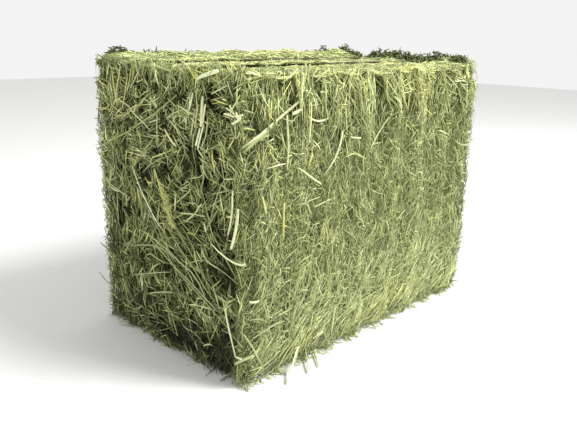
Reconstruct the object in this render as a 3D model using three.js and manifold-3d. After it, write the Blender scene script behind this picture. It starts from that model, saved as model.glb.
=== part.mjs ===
// A square hay bale: eight pressed flakes of stems in a row, held together by two loops of twine.
// Millimetres. X runs along the bale, Y across it and Z up, with the origin under its middle.

import * as THREE from "three";
import { mergeVertices } from "three/addons/utils/BufferGeometryUtils.js";
import Module from "manifold-3d";

const wasm = await Module();
wasm.setup();

// The bale as it leaves the press
const LENGTH = 590;
const WIDTH = 360;
const HEIGHT = 460;
const LONG_EDGE_ROUND = 8;
const BOTTOM_EDGE_ROUND = 5;
const END_EDGE_ROUND = 5;
const SIDE_SWELL = 9;
const END_SWELL = 5;
const LUMP = 4;
const LUMP_SPAN = 24;

// The flakes and the joints between them
const FLAKE_COUNT = 8;
const FLAKE_GAP = 0.4;
const JOINT_LEAN = 0.012;
const JOINT_CREASE = 7;
const FLAKE_STAGGER = 4;
const STEPS_IN_A_FLAKE = 2;
const HEIGHT_STEPS = 12;
const FACE_SHARE = 0.1;

// The twine and the groove that it presses into the hay
const TWINE_DIAMETER = 4.5;
const TWINE_OFFSET = 80;
const TWINE_BEND = 32;
const TWINE_STRETCHES = 8;
const TWINE_STEPS = 5 * TWINE_STRETCHES;
const TWINE_SIDES = 5;
const GROOVE_DEPTH = 7;
const GROOVE_HALF_WIDTH = 20;
const GROOVE_EDGE_ROUND = 12;
const TWINE_LIFT = 4;
const MIDDLE_CROWN = 2;
const FRONT_CROWN = 2;
const REAR_CROWN = 10;
const TOP_LOOSENESS = 0.5;

// The knot of each loop, on the far end, and its two cut ends
const KNOT_RADIUS = 5.5;
const KNOT_HEIGHT = 330;
const KNOT_POCKET = 15;
const KNOT_STEPS = 20;
const ROOM_SIDES = 8;
const ROOM_RINGS = 6;
const TAIL_LENGTH = 38;
const TAIL_DROP = 24;
const TAIL_SPREAD = 11;

// Locks: bundles of stems that lie along a face, with the tip standing clear of it
const LOCK_LENGTH = { least: 90, most: 160 };
const LOCK_WIDTH = { least: 16, most: 28 };
const LOCK_LIFT = { least: 4, most: 12 };
const LOCK_BEND = { least: -14, most: 14 };
const LOCK_FLATNESS = 0.5;
const LOCK_TIP = 0.15;
const LOCK_SIDES = 4;
const LOCK_STEPS = 3;
const LOCK_MARGIN = 68;
const LOCKS_ON_A_SIDE = 2;
const LOCKS_ON_AN_END = 8;
const SIDE_LOCK_TURN = { least: -0.35, most: 0.35 };
const ANY_TURN = { least: 0, most: 2 * Math.PI };
const TWINE_LANE = 7;

const HAY_GREENS = [0x8e9160, 0x979a66, 0x8a8c58, 0x9c9b68];
const TWINE_BROWN = 0x6d6039;

const RANDOM_FACTOR = 16807;
const RANDOM_MODULUS = 2147483647;
let seed = 20417;

// A repeatable random number between two limits.
function between(least, most) {
  seed = (seed * RANDOM_FACTOR) % RANDOM_MODULUS;
  return least + (most - least) * seed / RANDOM_MODULUS;
}

function within(range) {
  return between(range.least, range.most);
}

// Rises from 0 to 1 over the last stretch before a face, so that only the face itself moves.
function faceRamp(share) {
  return THREE.MathUtils.clamp((share - 1 + FACE_SHARE) / FACE_SHARE, 0, 1);
}

const halfWidth = WIDTH / 2;
const halfLength = LENGTH / 2;
const flakeThickness = LENGTH / FLAKE_COUNT;
const outerLobe = (TWINE_OFFSET + GROOVE_HALF_WIDTH + halfWidth) / 2;

// Lines along the bale, from the middle out to one side, and how far the hay stands over each on the top.
// Behind the rear twine it stands higher than in front of the other.
const bands = [
  { y: 0, rise: MIDDLE_CROWN, groove: 0 },
  { y: TWINE_OFFSET - GROOVE_HALF_WIDTH, rise: 0, groove: 0 },
  { y: TWINE_OFFSET, rise: -GROOVE_DEPTH, groove: GROOVE_DEPTH },
  { y: TWINE_OFFSET + GROOVE_HALF_WIDTH, rise: 0, groove: 0 },
  { y: outerLobe, rise: FRONT_CROWN, rearRise: REAR_CROWN, groove: 0 },
  { y: halfWidth, rise: 0, groove: 0 },
];

// Joints lean a little, each its own way, and flakes stand a little proud or shy of each other.
const joints = [];
const stagger = [];
for (let index = 0; index <= FLAKE_COUNT; index += 1) {
  const leans = index > 0 && index < FLAKE_COUNT;
  joints.push({
    x: index * flakeThickness - halfLength,
    leanY: leans ? between(-JOINT_LEAN, JOINT_LEAN) : 0,
    leanZ: leans ? between(-JOINT_LEAN, JOINT_LEAN) : 0,
  });
  stagger.push(between(-FLAKE_STAGGER, FLAKE_STAGGER));
}

function jointX(index, y, z) {
  const joint = joints[index];
  return joint.x + joint.leanY * y + joint.leanZ * (z - HEIGHT / 2);
}

// The rise and fall of pressed hay: two slow waves that cross, with a finer one over them.
function lumpAt(x, y, z) {
  const slow = Math.sin((x + z / 2) / LUMP_SPAN) * Math.cos((z - y) / LUMP_SPAN);
  const fine = Math.sin(2 * (x + y + z) / LUMP_SPAN);
  return LUMP * (slow + fine / 2);
}

// Where a point of the bale's box goes. Station counts steps along it, across and up run from -1 to 1.
function hayPoint(station, across, up) {
  const band = bands[Math.round(Math.abs(across) * (bands.length - 1))];
  const index = Math.min(Math.floor(station / STEPS_IN_A_FLAKE), FLAKE_COUNT - 1);
  const share = station / STEPS_IN_A_FLAKE - index;
  const isEnd = station === 0 || station === FLAKE_COUNT * STEPS_IN_A_FLAKE;
  const isJoint = !isEnd && share === 0;
  const side = Math.sign(across);
  const onSide = faceRamp(Math.abs(across));
  const onTop = faceRamp(up);
  const onBottom = faceRamp(-up);

  let y = side * band.y;
  let z = (1 + up) * HEIGHT / 2;
  const lump = band.groove > 0 ? 0 : lumpAt(joints[index].x + share * flakeThickness, y, z);
  const loose = isJoint ? lump - JOINT_CREASE : lump + stagger[index];
  const rise = side > 0 ? band.rearRise ?? band.rise : band.rise;
  const grooveLoose = isJoint ? -JOINT_CREASE : 0;
  y += side * onSide * (SIDE_SWELL * (1 - up * up) + loose);
  z += onTop * (rise + (band.groove > 0 ? grooveLoose : loose * TOP_LOOSENESS)) + onBottom * band.groove;

  const edgeRound = onTop * LONG_EDGE_ROUND + onBottom * BOTTOM_EDGE_ROUND;
  y -= side * onSide * edgeRound;
  z -= Math.sign(up) * onSide * edgeRound;
  if (!isEnd) {
    return new THREE.Vector3(THREE.MathUtils.lerp(jointX(index, y, z), jointX(index + 1, y, z), share), y, z);
  }
  const topRound = band.groove > 0 ? GROOVE_EDGE_ROUND : END_EDGE_ROUND;
  const lowRound = band.groove > 0 ? GROOVE_EDGE_ROUND : BOTTOM_EDGE_ROUND;
  const endRound = Math.max(onSide * END_EDGE_ROUND, onTop * topRound, onBottom * lowRound);
  const swell = band.groove > 0 ? -GROOVE_DEPTH : END_SWELL * (1 - across * across) * (1 - up * up);
  y -= side * onSide * END_EDGE_ROUND;
  z -= onTop * topRound - onBottom * lowRound;
  return new THREE.Vector3((station === 0 ? -1 : 1) * (halfLength + swell + lump - endRound), y, z);
}

function toSolid(geometry) {
  geometry.deleteAttribute("normal");
  geometry.deleteAttribute("uv");
  const merged = mergeVertices(geometry);
  const vertProperties = new Float32Array(merged.attributes.position.array);
  const triVerts = new Uint32Array(merged.index.array);
  return new wasm.Manifold(new wasm.Mesh({ numProp: 3, vertProperties, triVerts }));
}

function toGeometry(solid) {
  const mesh = solid.getMesh();
  const geometry = new THREE.BufferGeometry();
  geometry.setAttribute("position", new THREE.BufferAttribute(mesh.vertProperties, mesh.numProp));
  geometry.setIndex(new THREE.BufferAttribute(mesh.triVerts, 1));
  geometry.computeVertexNormals();
  return geometry;
}

// Moves every point of a geometry to where a function puts it.
function reshape(geometry, move) {
  const position = geometry.attributes.position;
  for (let i = 0; i < position.count; i += 1) {
    const point = move(position.getX(i), position.getY(i), position.getZ(i));
    position.setXYZ(i, point.x, point.y, point.z);
  }
  return geometry;
}

// The whole pressed bale, before it is parted into flakes.
function pressedHay() {
  const stations = FLAKE_COUNT * STEPS_IN_A_FLAKE;
  const box = new THREE.BoxGeometry(stations, 2, 2, stations, 2 * (bands.length - 1), HEIGHT_STEPS);
  return toSolid(reshape(box, (x, across, up) => hayPoint(Math.round(x + stations / 2), across, up)));
}

// The room between a flake's two joints, open to all its free faces.
function flakeRoom(index) {
  const reach = LENGTH;
  const box = new THREE.BoxGeometry(2, 2, 2);
  return toSolid(reshape(box, (along, across, up) => {
    const border = index + (along + 1) / 2;
    const isEnd = border === 0 || border === FLAKE_COUNT;
    const y = across * reach;
    const z = up > 0 ? HEIGHT + reach : 0;
    return new THREE.Vector3(isEnd ? along * reach : jointX(border, y, z) - along * FLAKE_GAP / 2, y, z);
  }));
}

// The middle line of a twine loop: a rectangle with rounded corners, standing in the grooves.
// Its four corners and the four runs between them each take the same number of steps.
class TwineLoop extends THREE.Curve {
  constructor(y) {
    super();
    this.y = y;
    this.halfRun = halfLength - GROOVE_DEPTH + TWINE_LIFT - TWINE_BEND;
    this.halfRise = HEIGHT / 2 - GROOVE_DEPTH + TWINE_LIFT - TWINE_BEND;
  }

  // A point on one rounded corner, at a share of its quarter turn.
  cornerPoint(corner, share) {
    const turn = (corner + share) * Math.PI / 2;
    const isRight = corner % 4 === 0 || corner % 4 === 3;
    const isHigh = corner % 4 < 2;
    const x = (isRight ? 1 : -1) * this.halfRun + TWINE_BEND * Math.cos(turn);
    const z = (isHigh ? 1 : -1) * this.halfRise + TWINE_BEND * Math.sin(turn);
    return new THREE.Vector3(x, this.y, HEIGHT / 2 + z);
  }

  getPoint(share, target = new THREE.Vector3()) {
    const stretch = THREE.MathUtils.euclideanModulo(share, 1) * TWINE_STRETCHES;
    const corner = Math.floor(stretch / 2);
    const along = stretch - 2 * corner;
    if (along < 1) {
      return target.copy(this.cornerPoint(corner, along));
    }
    return target.lerpVectors(this.cornerPoint(corner, 1), this.cornerPoint(corner + 1, 0), along - 1);
  }

  getUtoTmapping(share) {
    return share;
  }
}

function twineTube(y, radius) {
  return toSolid(new THREE.TubeGeometry(new TwineLoop(y), TWINE_STEPS, radius, TWINE_SIDES, true));
}

function knotPlace(y) {
  return new THREE.Vector3(halfLength - GROOVE_DEPTH + TWINE_LIFT, y, KNOT_HEIGHT);
}

// A cut end of twine that hangs out of the knot to one side.
function twineTail(y, side) {
  const radius = TWINE_DIAMETER / 2;
  const tail = new THREE.CylinderGeometry(radius, radius, TAIL_LENGTH, TWINE_SIDES);
  const end = new THREE.Vector3(KNOT_RADIUS + TWINE_DIAMETER * 2, side * TAIL_SPREAD, -TAIL_DROP);
  tail.translate(0, TAIL_LENGTH / 2, 0);
  tail.applyQuaternion(new THREE.Quaternion().setFromUnitVectors(new THREE.Vector3(0, 1, 0), end.normalize()));
  const place = knotPlace(y);
  return toSolid(tail.translate(place.x, place.y, place.z));
}

function knottedTwine(y) {
  const place = knotPlace(y);
  const knot = new THREE.TorusKnotGeometry(KNOT_RADIUS, TWINE_DIAMETER / 2, KNOT_STEPS, TWINE_SIDES);
  knot.rotateY(Math.PI / 2);
  knot.translate(place.x, place.y, place.z);
  const twine = twineTube(y, TWINE_DIAMETER / 2).add(toSolid(knot));
  return twine.add(twineTail(y, -1)).add(twineTail(y, 1));
}

// A lock is modelled lying along +Y about the origin, with its face's normal along +Z.
function stemLock() {
  const length = within(LOCK_LENGTH);
  const root = within(LOCK_WIDTH) / 2;
  const lift = within(LOCK_LIFT);
  const bend = within(LOCK_BEND);
  const lock = new THREE.CylinderGeometry(root, root, length, LOCK_SIDES, LOCK_STEPS);
  return reshape(lock, (x, y, z) => {
    const share = y / length + 0.5;
    const girth = LOCK_TIP + (1 - LOCK_TIP) * Math.sin(Math.PI * share);
    const rise = lift * share * share - root * LOCK_FLATNESS / 2;
    return new THREE.Vector3(x * girth + bend * share * share, y, z * girth * LOCK_FLATNESS + rise);
  });
}

// Lays a lock on a face, turned from the face's own grain by some angle.
function layLock(face, point, turn) {
  const grain = face.grain.clone().applyAxisAngle(face.normal, turn);
  const across = grain.clone().cross(face.normal);
  const basis = new THREE.Matrix4().makeBasis(across, grain, face.normal).setPosition(point);
  return stemLock().applyMatrix4(basis);
}

const frontFace = { normal: new THREE.Vector3(0, -1, 0), grain: new THREE.Vector3(0, 0, 1) };
const backFace = { normal: new THREE.Vector3(0, 1, 0), grain: new THREE.Vector3(0, 0, 1) };
const nearEnd = { normal: new THREE.Vector3(-1, 0, 0), grain: new THREE.Vector3(0, 0, 1) };
const farEnd = { normal: new THREE.Vector3(1, 0, 0), grain: new THREE.Vector3(0, 0, 1) };

// Stems on the long sides stand near upright. The top is pressed flat, so it has no locks.
function sideLocks(index) {
  const middle = joints[index].x + flakeThickness / 2;
  const locks = [];
  for (const face of [frontFace, backFace]) {
    for (let count = 0; count < LOCKS_ON_A_SIDE; count += 1) {
      const up = 2 * (count + between(0, 1)) / LOCKS_ON_A_SIDE - 1;
      const z = HEIGHT / 2 + up * (HEIGHT / 2 - LOCK_MARGIN);
      const y = face.normal.y * (halfWidth + SIDE_SWELL * (1 - up * up) + stagger[index]);
      const point = new THREE.Vector3(middle, y, z);
      locks.push(layLock(face, point, within(SIDE_LOCK_TURN)));
    }
  }
  return locks;
}

// On the two ends the stems of the last flake lie flat, every way.
function endLocks(face) {
  const locks = [];
  for (let count = 0; count < LOCKS_ON_AN_END; count += 1) {
    const across = between(-1, 1);
    const up = 2 * (count + between(0, 1)) / LOCKS_ON_AN_END - 1;
    const swell = END_SWELL * (1 - across * across) * (1 - up * up);
    const y = across * (halfWidth - LOCK_MARGIN);
    const z = HEIGHT / 2 + up * (HEIGHT / 2 - LOCK_MARGIN);
    const point = new THREE.Vector3(face.normal.x * (halfLength + swell), y, z);
    locks.push(layLock(face, point, within(ANY_TURN)));
  }
  return locks;
}

// A ball of room round a knot.
function knotRoom(y, radius) {
  const place = knotPlace(y);
  return toSolid(new THREE.SphereGeometry(radius, ROOM_SIDES, ROOM_RINGS).translate(place.x, place.y, place.z));
}

// The room along a twine and round its knot and cut ends, which no lock crosses.
function twineLane(y) {
  return twineTube(y, TWINE_LANE).add(knotRoom(y, TAIL_LENGTH + TWINE_LANE));
}

const twineLanes = twineLane(-TWINE_OFFSET).add(twineLane(TWINE_OFFSET));

const hay = pressedHay();

function lockedFlake(index) {
  const room = flakeRoom(index);
  const locks = sideLocks(index);
  if (index === 0) {
    locks.push(...endLocks(nearEnd));
  }
  if (index === FLAKE_COUNT - 1) {
    locks.push(...endLocks(farEnd));
  }
  let flake = hay.intersect(room);
  for (const lock of locks) {
    flake = flake.add(toSolid(lock).intersect(room).subtract(twineLanes));
  }
  if (index === FLAKE_COUNT - 1) {
    flake = flake.subtract(knotRoom(-TWINE_OFFSET, KNOT_POCKET)).subtract(knotRoom(TWINE_OFFSET, KNOT_POCKET));
  }
  return flake;
}

// A trimmed lock can leave crumbs that touch nothing, so only the largest body is kept.
function largestBody(solid) {
  return solid.decompose().reduce((best, body) => (body.volume() > best.volume() ? body : best));
}

function matte(color) {
  return new THREE.MeshStandardMaterial({ color, roughness: 0.9, metalness: 0 });
}

const bale = new THREE.Group();
for (let index = 0; index < FLAKE_COUNT; index += 1) {
  const color = HAY_GREENS[index % HAY_GREENS.length];
  const flake = new THREE.Mesh(toGeometry(largestBody(lockedFlake(index))), matte(color));
  flake.name = `flake_${index + 1}`;
  bale.add(flake);
}
for (const [name, y] of [["twine_front", -TWINE_OFFSET], ["twine_back", TWINE_OFFSET]]) {
  const twine = new THREE.Mesh(toGeometry(knottedTwine(y)), matte(TWINE_BROWN));
  twine.name = name;
  bale.add(twine);
}

// The locks reach further on some sides than on others, so the finished bale is centred over the origin.
const reach = new THREE.Box3().setFromObject(bale);
const centre = reach.getCenter(new THREE.Vector3());
bale.position.set(-centre.x, -centre.y, -reach.min.z);

const part = new THREE.Group();
part.add(bale);

export default part;
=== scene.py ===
import math

import bpy
import numpy as np
from mathutils import Matrix, Vector
from mathutils.bvhtree import BVHTree


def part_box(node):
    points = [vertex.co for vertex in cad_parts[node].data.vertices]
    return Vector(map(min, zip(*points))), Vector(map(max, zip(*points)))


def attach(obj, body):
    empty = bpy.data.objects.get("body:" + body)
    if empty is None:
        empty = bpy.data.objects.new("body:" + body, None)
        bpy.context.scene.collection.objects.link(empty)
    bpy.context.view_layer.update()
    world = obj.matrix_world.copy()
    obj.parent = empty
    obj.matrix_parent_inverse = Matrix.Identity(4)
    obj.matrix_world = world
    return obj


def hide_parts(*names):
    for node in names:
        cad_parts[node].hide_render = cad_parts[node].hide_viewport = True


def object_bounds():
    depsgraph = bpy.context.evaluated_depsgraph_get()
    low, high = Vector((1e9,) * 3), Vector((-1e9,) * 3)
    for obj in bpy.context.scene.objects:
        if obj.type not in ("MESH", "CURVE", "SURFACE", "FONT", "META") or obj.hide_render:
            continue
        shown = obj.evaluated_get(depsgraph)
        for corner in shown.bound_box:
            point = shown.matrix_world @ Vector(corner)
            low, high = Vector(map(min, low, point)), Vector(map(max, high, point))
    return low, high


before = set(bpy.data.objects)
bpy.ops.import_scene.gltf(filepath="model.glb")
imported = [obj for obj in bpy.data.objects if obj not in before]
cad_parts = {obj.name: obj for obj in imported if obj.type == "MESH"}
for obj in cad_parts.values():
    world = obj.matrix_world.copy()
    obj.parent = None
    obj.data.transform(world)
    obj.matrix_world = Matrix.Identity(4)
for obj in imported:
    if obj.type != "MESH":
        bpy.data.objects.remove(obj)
solid_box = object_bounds()


# Camera: it stands off the near corner, a little higher than the bale, where the photograph was taken.
# Single stems further down are placed by their pixels in that picture, so the camera comes first.
PICTURE_WIDTH, PICTURE_HEIGHT = 577, 433
FOCAL_PIXELS = 634
SENSOR_MM = 36
EYE = Vector((-0.838, -0.805, 0.503))
VIEW_DIRECTION = Vector((0.684, 0.675, -0.276)).normalized()
CAMERA_ROLL = math.radians(1.08)
NEAREST_SEEN = 0.02

level_right = VIEW_DIRECTION.cross(Vector((0, 0, 1))).normalized()
level_up = level_right.cross(VIEW_DIRECTION)
picture_right = level_right * math.cos(CAMERA_ROLL) + level_up * math.sin(CAMERA_ROLL)
picture_up = level_up * math.cos(CAMERA_ROLL) - level_right * math.sin(CAMERA_ROLL)

bpy.ops.object.select_all(action="DESELECT")
bpy.ops.object.camera_add(location=EYE)
camera = bpy.context.object
camera.name = "camera"
turned = Matrix((picture_right, picture_up, -VIEW_DIRECTION)).transposed().to_4x4()
camera.matrix_world = Matrix.Translation(EYE) @ turned
camera.data.sensor_width = SENSOR_MM
camera.data.lens = SENSOR_MM * FOCAL_PIXELS / PICTURE_WIDTH
camera.data.clip_start = NEAREST_SEEN
bpy.context.scene.camera = camera


# Matted hay: a flake is one stroke's worth of grass, pressed so hard that it holds together as a felted slab.
# It lies under the loose stems and shows only between them, with pits where stems bent.
# It is brownish green, painted dark as the shade between the stems, and darker still on the two cut ends as their
# painted shade.
FLAKES = [f"flake_{number}" for number in range(1, 9)]
MERGE_DISTANCE = 0.00005
FELT_VOXEL = 0.010
LOOSE_COAT = 0.007
PIT_DEPTH = 0.012
PIT_SPAN = 0.028
FELT_STRANDS = (520, 520, 90)
FELT_PATCHES = 30
FELT_BUMP = 0.002
END_SHADE_FELT = [(0.35, (0.008, 0.010, 0.002)), (0.52, (0.030, 0.036, 0.008)), (0.70, (0.090, 0.105, 0.026))]
LIGHT_FELT = [(0.35, (0.045, 0.055, 0.014)), (0.52, (0.130, 0.150, 0.050)), (0.70, (0.260, 0.285, 0.110))]
END_SHADE_FROM, END_SHADE_FULL = 0.245, 0.275


class Wire:
    """A shader socket that can be reckoned with: every sum or product adds its own Math node."""

    def __init__(self, socket):
        self.socket = socket
        self.tree = socket.id_data

    def reckon(self, operation, first, second):
        node = self.tree.nodes.new("ShaderNodeMath")
        node.operation = operation
        for socket, term in zip(node.inputs, (first, second)):
            if isinstance(term, Wire):
                self.tree.links.new(term.socket, socket)
            else:
                socket.default_value = term
        return Wire(node.outputs[0])

    def __add__(self, other):
        return self.reckon("ADD", self, other)

    def __radd__(self, other):
        return self.reckon("ADD", other, self)

    def __mul__(self, other):
        return self.reckon("MULTIPLY", self, other)

    def __rmul__(self, other):
        return self.reckon("MULTIPLY", other, self)


class Finish:
    """One material in the making, on a Principled shader."""

    def __init__(self, name, **fixed):
        self.material = bpy.data.materials.new(name)
        self.material.use_nodes = True
        self.tree = self.material.node_tree
        self.shader = self.tree.nodes["Principled BSDF"]
        for socket, value in fixed.items():
            self.shader.inputs[socket.replace("_", " ")].default_value = value

    def node(self, kind, settings=None, inputs=None, output=0):
        """Adds a node: its settings first, a ramp's stops among them, then its sockets' values or links."""
        node = self.tree.nodes.new(kind)
        for name, value in (settings or {}).items():
            if name == "stops":
                stops = node.color_ramp.elements
                while len(stops) < len(value):
                    stops.new(1)
                for stop, (place, colour) in zip(stops, value):
                    stop.position = place
                    stop.color = (*colour, 1)
            else:
                setattr(node, name, value)
        for name, value in (inputs or {}).items():
            if isinstance(value, Wire):
                self.tree.links.new(value.socket, node.inputs[name])
            else:
                node.inputs[name].default_value = value
        return Wire(node.outputs[output])

    def blend(self, share, first, second, way="MIX"):
        """Mixes two colours by a share. A Mix node's colour sockets go by number."""
        settings = {"data_type": "RGBA", "blend_type": way}
        return self.node("ShaderNodeMix", settings, {0: share, 6: first, 7: second}, output=2)

    def feed(self, socket, wire):
        self.tree.links.new(wire.socket, self.shader.inputs[socket])


def felted_hay():
    felt = Finish("felted_hay", Roughness=0.9)
    place = felt.node("ShaderNodeTexCoord", output="Object")
    strands = felt.node("ShaderNodeMapping", inputs={"Vector": place, "Scale": FELT_STRANDS})
    fibre = felt.node("ShaderNodeTexNoise", inputs={"Vector": strands, "Scale": 1.0, "Detail": 3.0})
    patch = felt.node("ShaderNodeTexNoise", inputs={"Vector": place, "Scale": FELT_PATCHES, "Detail": 4.0})
    shade = fibre * 0.6 + patch * 0.4
    # Painted shade: the felt is dark as the shade between the stems, and darker on the two cut ends.
    dark = felt.node("ShaderNodeValToRGB", {"stops": END_SHADE_FELT}, {"Fac": shade})
    light = felt.node("ShaderNodeValToRGB", {"stops": LIGHT_FELT}, {"Fac": shade})
    along = felt.node("ShaderNodeSeparateXYZ", inputs={"Vector": place}, output="X")
    from_middle = felt.node("ShaderNodeMath", {"operation": "ABSOLUTE"}, {0: along})
    end_shade = felt.node("ShaderNodeMapRange", {"interpolation_type": "SMOOTHSTEP"}, {
        "Value": from_middle, "From Min": END_SHADE_FROM, "From Max": END_SHADE_FULL})
    bump = felt.node("ShaderNodeBump", inputs={"Height": fibre, "Strength": 0.9, "Distance": FELT_BUMP})
    felt.feed("Base Color", felt.blend(end_shade, light, dark))
    felt.feed("Normal", bump)
    return felt.material


def apply_modifier(piece, kind, **settings):
    modifier = piece.modifiers.new(kind.lower(), kind)
    for name, value in settings.items():
        setattr(modifier, name, value)
    bpy.ops.object.modifier_apply(modifier=modifier.name)


def press_under(mesh, depth):
    """Moves what stands higher than the loose coat's foot down to it, on all six faces."""
    points = np.empty(len(mesh.vertices) * 3)
    mesh.vertices.foreach_get("co", points)
    points = points.reshape(-1, 3)
    for face in (near_end, far_end, front_face, back_face, under_face, top_face):
        inside = points - face.corner
        room = face.lift(inside @ face.along, inside @ face.up, face.close) - depth
        points -= np.maximum(0, inside @ face.outward - room)[:, None] * face.outward
    mesh.vertices.foreach_set("co", points.ravel())
    mesh.update()


def matted_flake(node_name, pits, felt):
    flake = bpy.data.objects.new(f"{node_name}_matted_hay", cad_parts[node_name].data.copy())
    bpy.context.collection.objects.link(flake)
    bpy.ops.object.select_all(action="DESELECT")
    flake.select_set(True)
    bpy.context.view_layer.objects.active = flake
    bpy.ops.object.mode_set(mode="EDIT")
    bpy.ops.mesh.select_all(action="SELECT")
    bpy.ops.mesh.remove_doubles(threshold=MERGE_DISTANCE)
    bpy.ops.object.mode_set(mode="OBJECT")
    apply_modifier(flake, "REMESH", mode="VOXEL", voxel_size=FELT_VOXEL)
    press_under(flake.data, LOOSE_COAT)
    apply_modifier(flake, "SMOOTH", factor=0.5, iterations=3)
    apply_modifier(flake, "DISPLACE", texture=pits, strength=PIT_DEPTH, mid_level=1, texture_coords="GLOBAL")
    bpy.ops.object.shade_smooth()
    flake.data.materials.clear()
    flake.data.materials.append(felt)
    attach(flake, "root")
    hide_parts(node_name)


def solid_triangles():
    points, triangles, start = [], [], 0
    for name in FLAKES:
        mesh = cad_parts[name].data
        mesh.calc_loop_triangles()
        points += [vertex.co.copy() for vertex in mesh.vertices]
        triangles += [[start + corner for corner in face.vertices] for face in mesh.loop_triangles]
        start += len(mesh.vertices)
    return points, triangles


# The six faces of the hay are kept as maps of how far it stands out.
# Twine grooves are too narrow to show in the broad map.
MAP_CELL = 0.005
RIM = 0.022
GAP_DEPTH = 0.03
CLOSE_ROUNDS = 2
BROAD_ROUNDS = 40


def smoothed(heights, rounds):
    for _ in range(rounds):
        edged = np.pad(heights, 1, mode="edge")
        beside = edged[:-2, 1:-1] + edged[2:, 1:-1] + edged[1:-1, :-2] + edged[1:-1, 2:]
        heights = (beside + 2 * heights) / 6
    return heights


class HayFace:
    """One face of the bale as a map: how far the pressed hay stands out from the middle at each place."""

    def __init__(self, corner, along, up, outward, width, height):
        self.corner = np.array(corner, float)
        self.along = np.array(along, float)
        self.up = np.array(up, float)
        self.outward = np.array(outward, float)
        self.width, self.height = width, height
        columns, rows = round(width / MAP_CELL) + 1, round(height / MAP_CELL) + 1
        heights = np.zeros((columns, rows))
        for column in range(columns):
            for row in range(rows):
                u = min(max(column * MAP_CELL, RIM), width - RIM)
                v = min(max(row * MAP_CELL, RIM), height - RIM)
                above = self.corner + self.along * u + self.up * v + self.outward
                fall = hay_tree.ray_cast(Vector(above), Vector(-self.outward))[3]
                heights[column, row] = 0 if fall is None else 1 - fall
        in_a_gap = heights < np.median(heights) - GAP_DEPTH
        for way in (1, -1):
            for axis in (0, 1):
                heights = np.where(in_a_gap, np.maximum(heights, np.roll(heights, way, axis=axis)), heights)
        self.close, self.broad = smoothed(heights, CLOSE_ROUNDS), smoothed(heights, BROAD_ROUNDS)
        self.bridged = np.maximum(self.close, self.broad)

    def lift(self, u, v, heights):
        column = np.clip(u / MAP_CELL, 0, heights.shape[0] - 1.001)
        row = np.clip(v / MAP_CELL, 0, heights.shape[1] - 1.001)
        left, low = column.astype(int), row.astype(int)
        right, high = column - left, row - low
        return (heights[left, low] * (1 - right) * (1 - high) + heights[left + 1, low] * right * (1 - high)
                + heights[left, low + 1] * (1 - right) * high + heights[left + 1, low + 1] * right * high)

    def place(self, u, v, out):
        flat = self.corner + u[..., None] * self.along + v[..., None] * self.up
        return flat + out[..., None] * self.outward


# The hay's own box, without the locks that stand out of it: the twines lie a little under its faces.
TWINE_RADIUS = 0.00225
TWINE_SUNK = 0.003
HAY_LENGTH, HAY_WIDTH, HAY_HEIGHT = 0.590, 0.362, 0.456
ALONG, ACROSS, UPWARD = (1, 0, 0), (0, 1, 0), (0, 0, 1)
hay_tree = BVHTree.FromPolygons(*solid_triangles())
low, high = solid_box
middle = (low + high) / 2
twine_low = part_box("twine_front")[0]
left = twine_low.x + TWINE_RADIUS - TWINE_SUNK
near = (twine_low.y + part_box("twine_back")[1].y) / 2 - HAY_WIDTH / 2
front_face = HayFace((left, middle.y, 0), ALONG, UPWARD, (0, -1, 0), HAY_LENGTH, HAY_HEIGHT)
back_face = HayFace((left, middle.y, 0), ALONG, UPWARD, (0, 1, 0), HAY_LENGTH, HAY_HEIGHT)
top_face = HayFace((left, near, middle.z), ALONG, ACROSS, (0, 0, 1), HAY_LENGTH, HAY_WIDTH)
under_face = HayFace((left, near, middle.z), ALONG, ACROSS, (0, 0, -1), HAY_LENGTH, HAY_WIDTH)
near_end = HayFace((middle.x, near, 0), ACROSS, UPWARD, (-1, 0, 0), HAY_WIDTH, HAY_HEIGHT)
far_end = HayFace((middle.x, near, 0), ACROSS, UPWARD, (1, 0, 0), HAY_WIDTH, HAY_HEIGHT)
felt = felted_hay()
pits = bpy.data.textures.new("pits_in_the_hay", "CLOUDS")
pits.noise_scale = PIT_SPAN
for flake_name in FLAKES:
    matted_flake(flake_name, pits, felt)


# Loose stems on the long sides: grass folded over by the plunger, so it stands upright in a close, fine mat.
# Each stem is a flattened tube with closed ends. Like stems lie together in wisps, and chaff lies among them.
# A stem's colour is its place in the ripeness colours below, made darker or paler by its tone.
SEED = 4151
GREEN, SAGE, PALE, LEMON, BLEACHED, GOLD = 0.20, 0.40, 0.58, 0.74, 0.88, 0.98
RIPENESS_COLOURS = [
    (0.00, (0.040, 0.048, 0.006)), (0.18, (0.105, 0.130, 0.022)), (0.40, (0.260, 0.300, 0.092)),
    (0.58, (0.430, 0.470, 0.215)), (0.74, (0.520, 0.520, 0.130)), (0.88, (0.740, 0.770, 0.430)),
    (1.00, (0.560, 0.450, 0.180))]
DARKEST_TONE, PALEST_TONE = (0.14, 0.15, 0.02, 1), (1.90, 1.90, 2.12, 1)
FLECK_SCALE = 60
STEM_SIDES = 3
WALL_CORNERS = 4
COLOUR_WIDTH = 0.003
TONE_FADE = (0.03, 0.12)
TINY = 1e-9
MOST_OVERHANG = 0.012
FLOOR_CLEARANCE = 0.0006
UPRIGHT = np.radians(90)
dice = np.random.default_rng(SEED)


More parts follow.
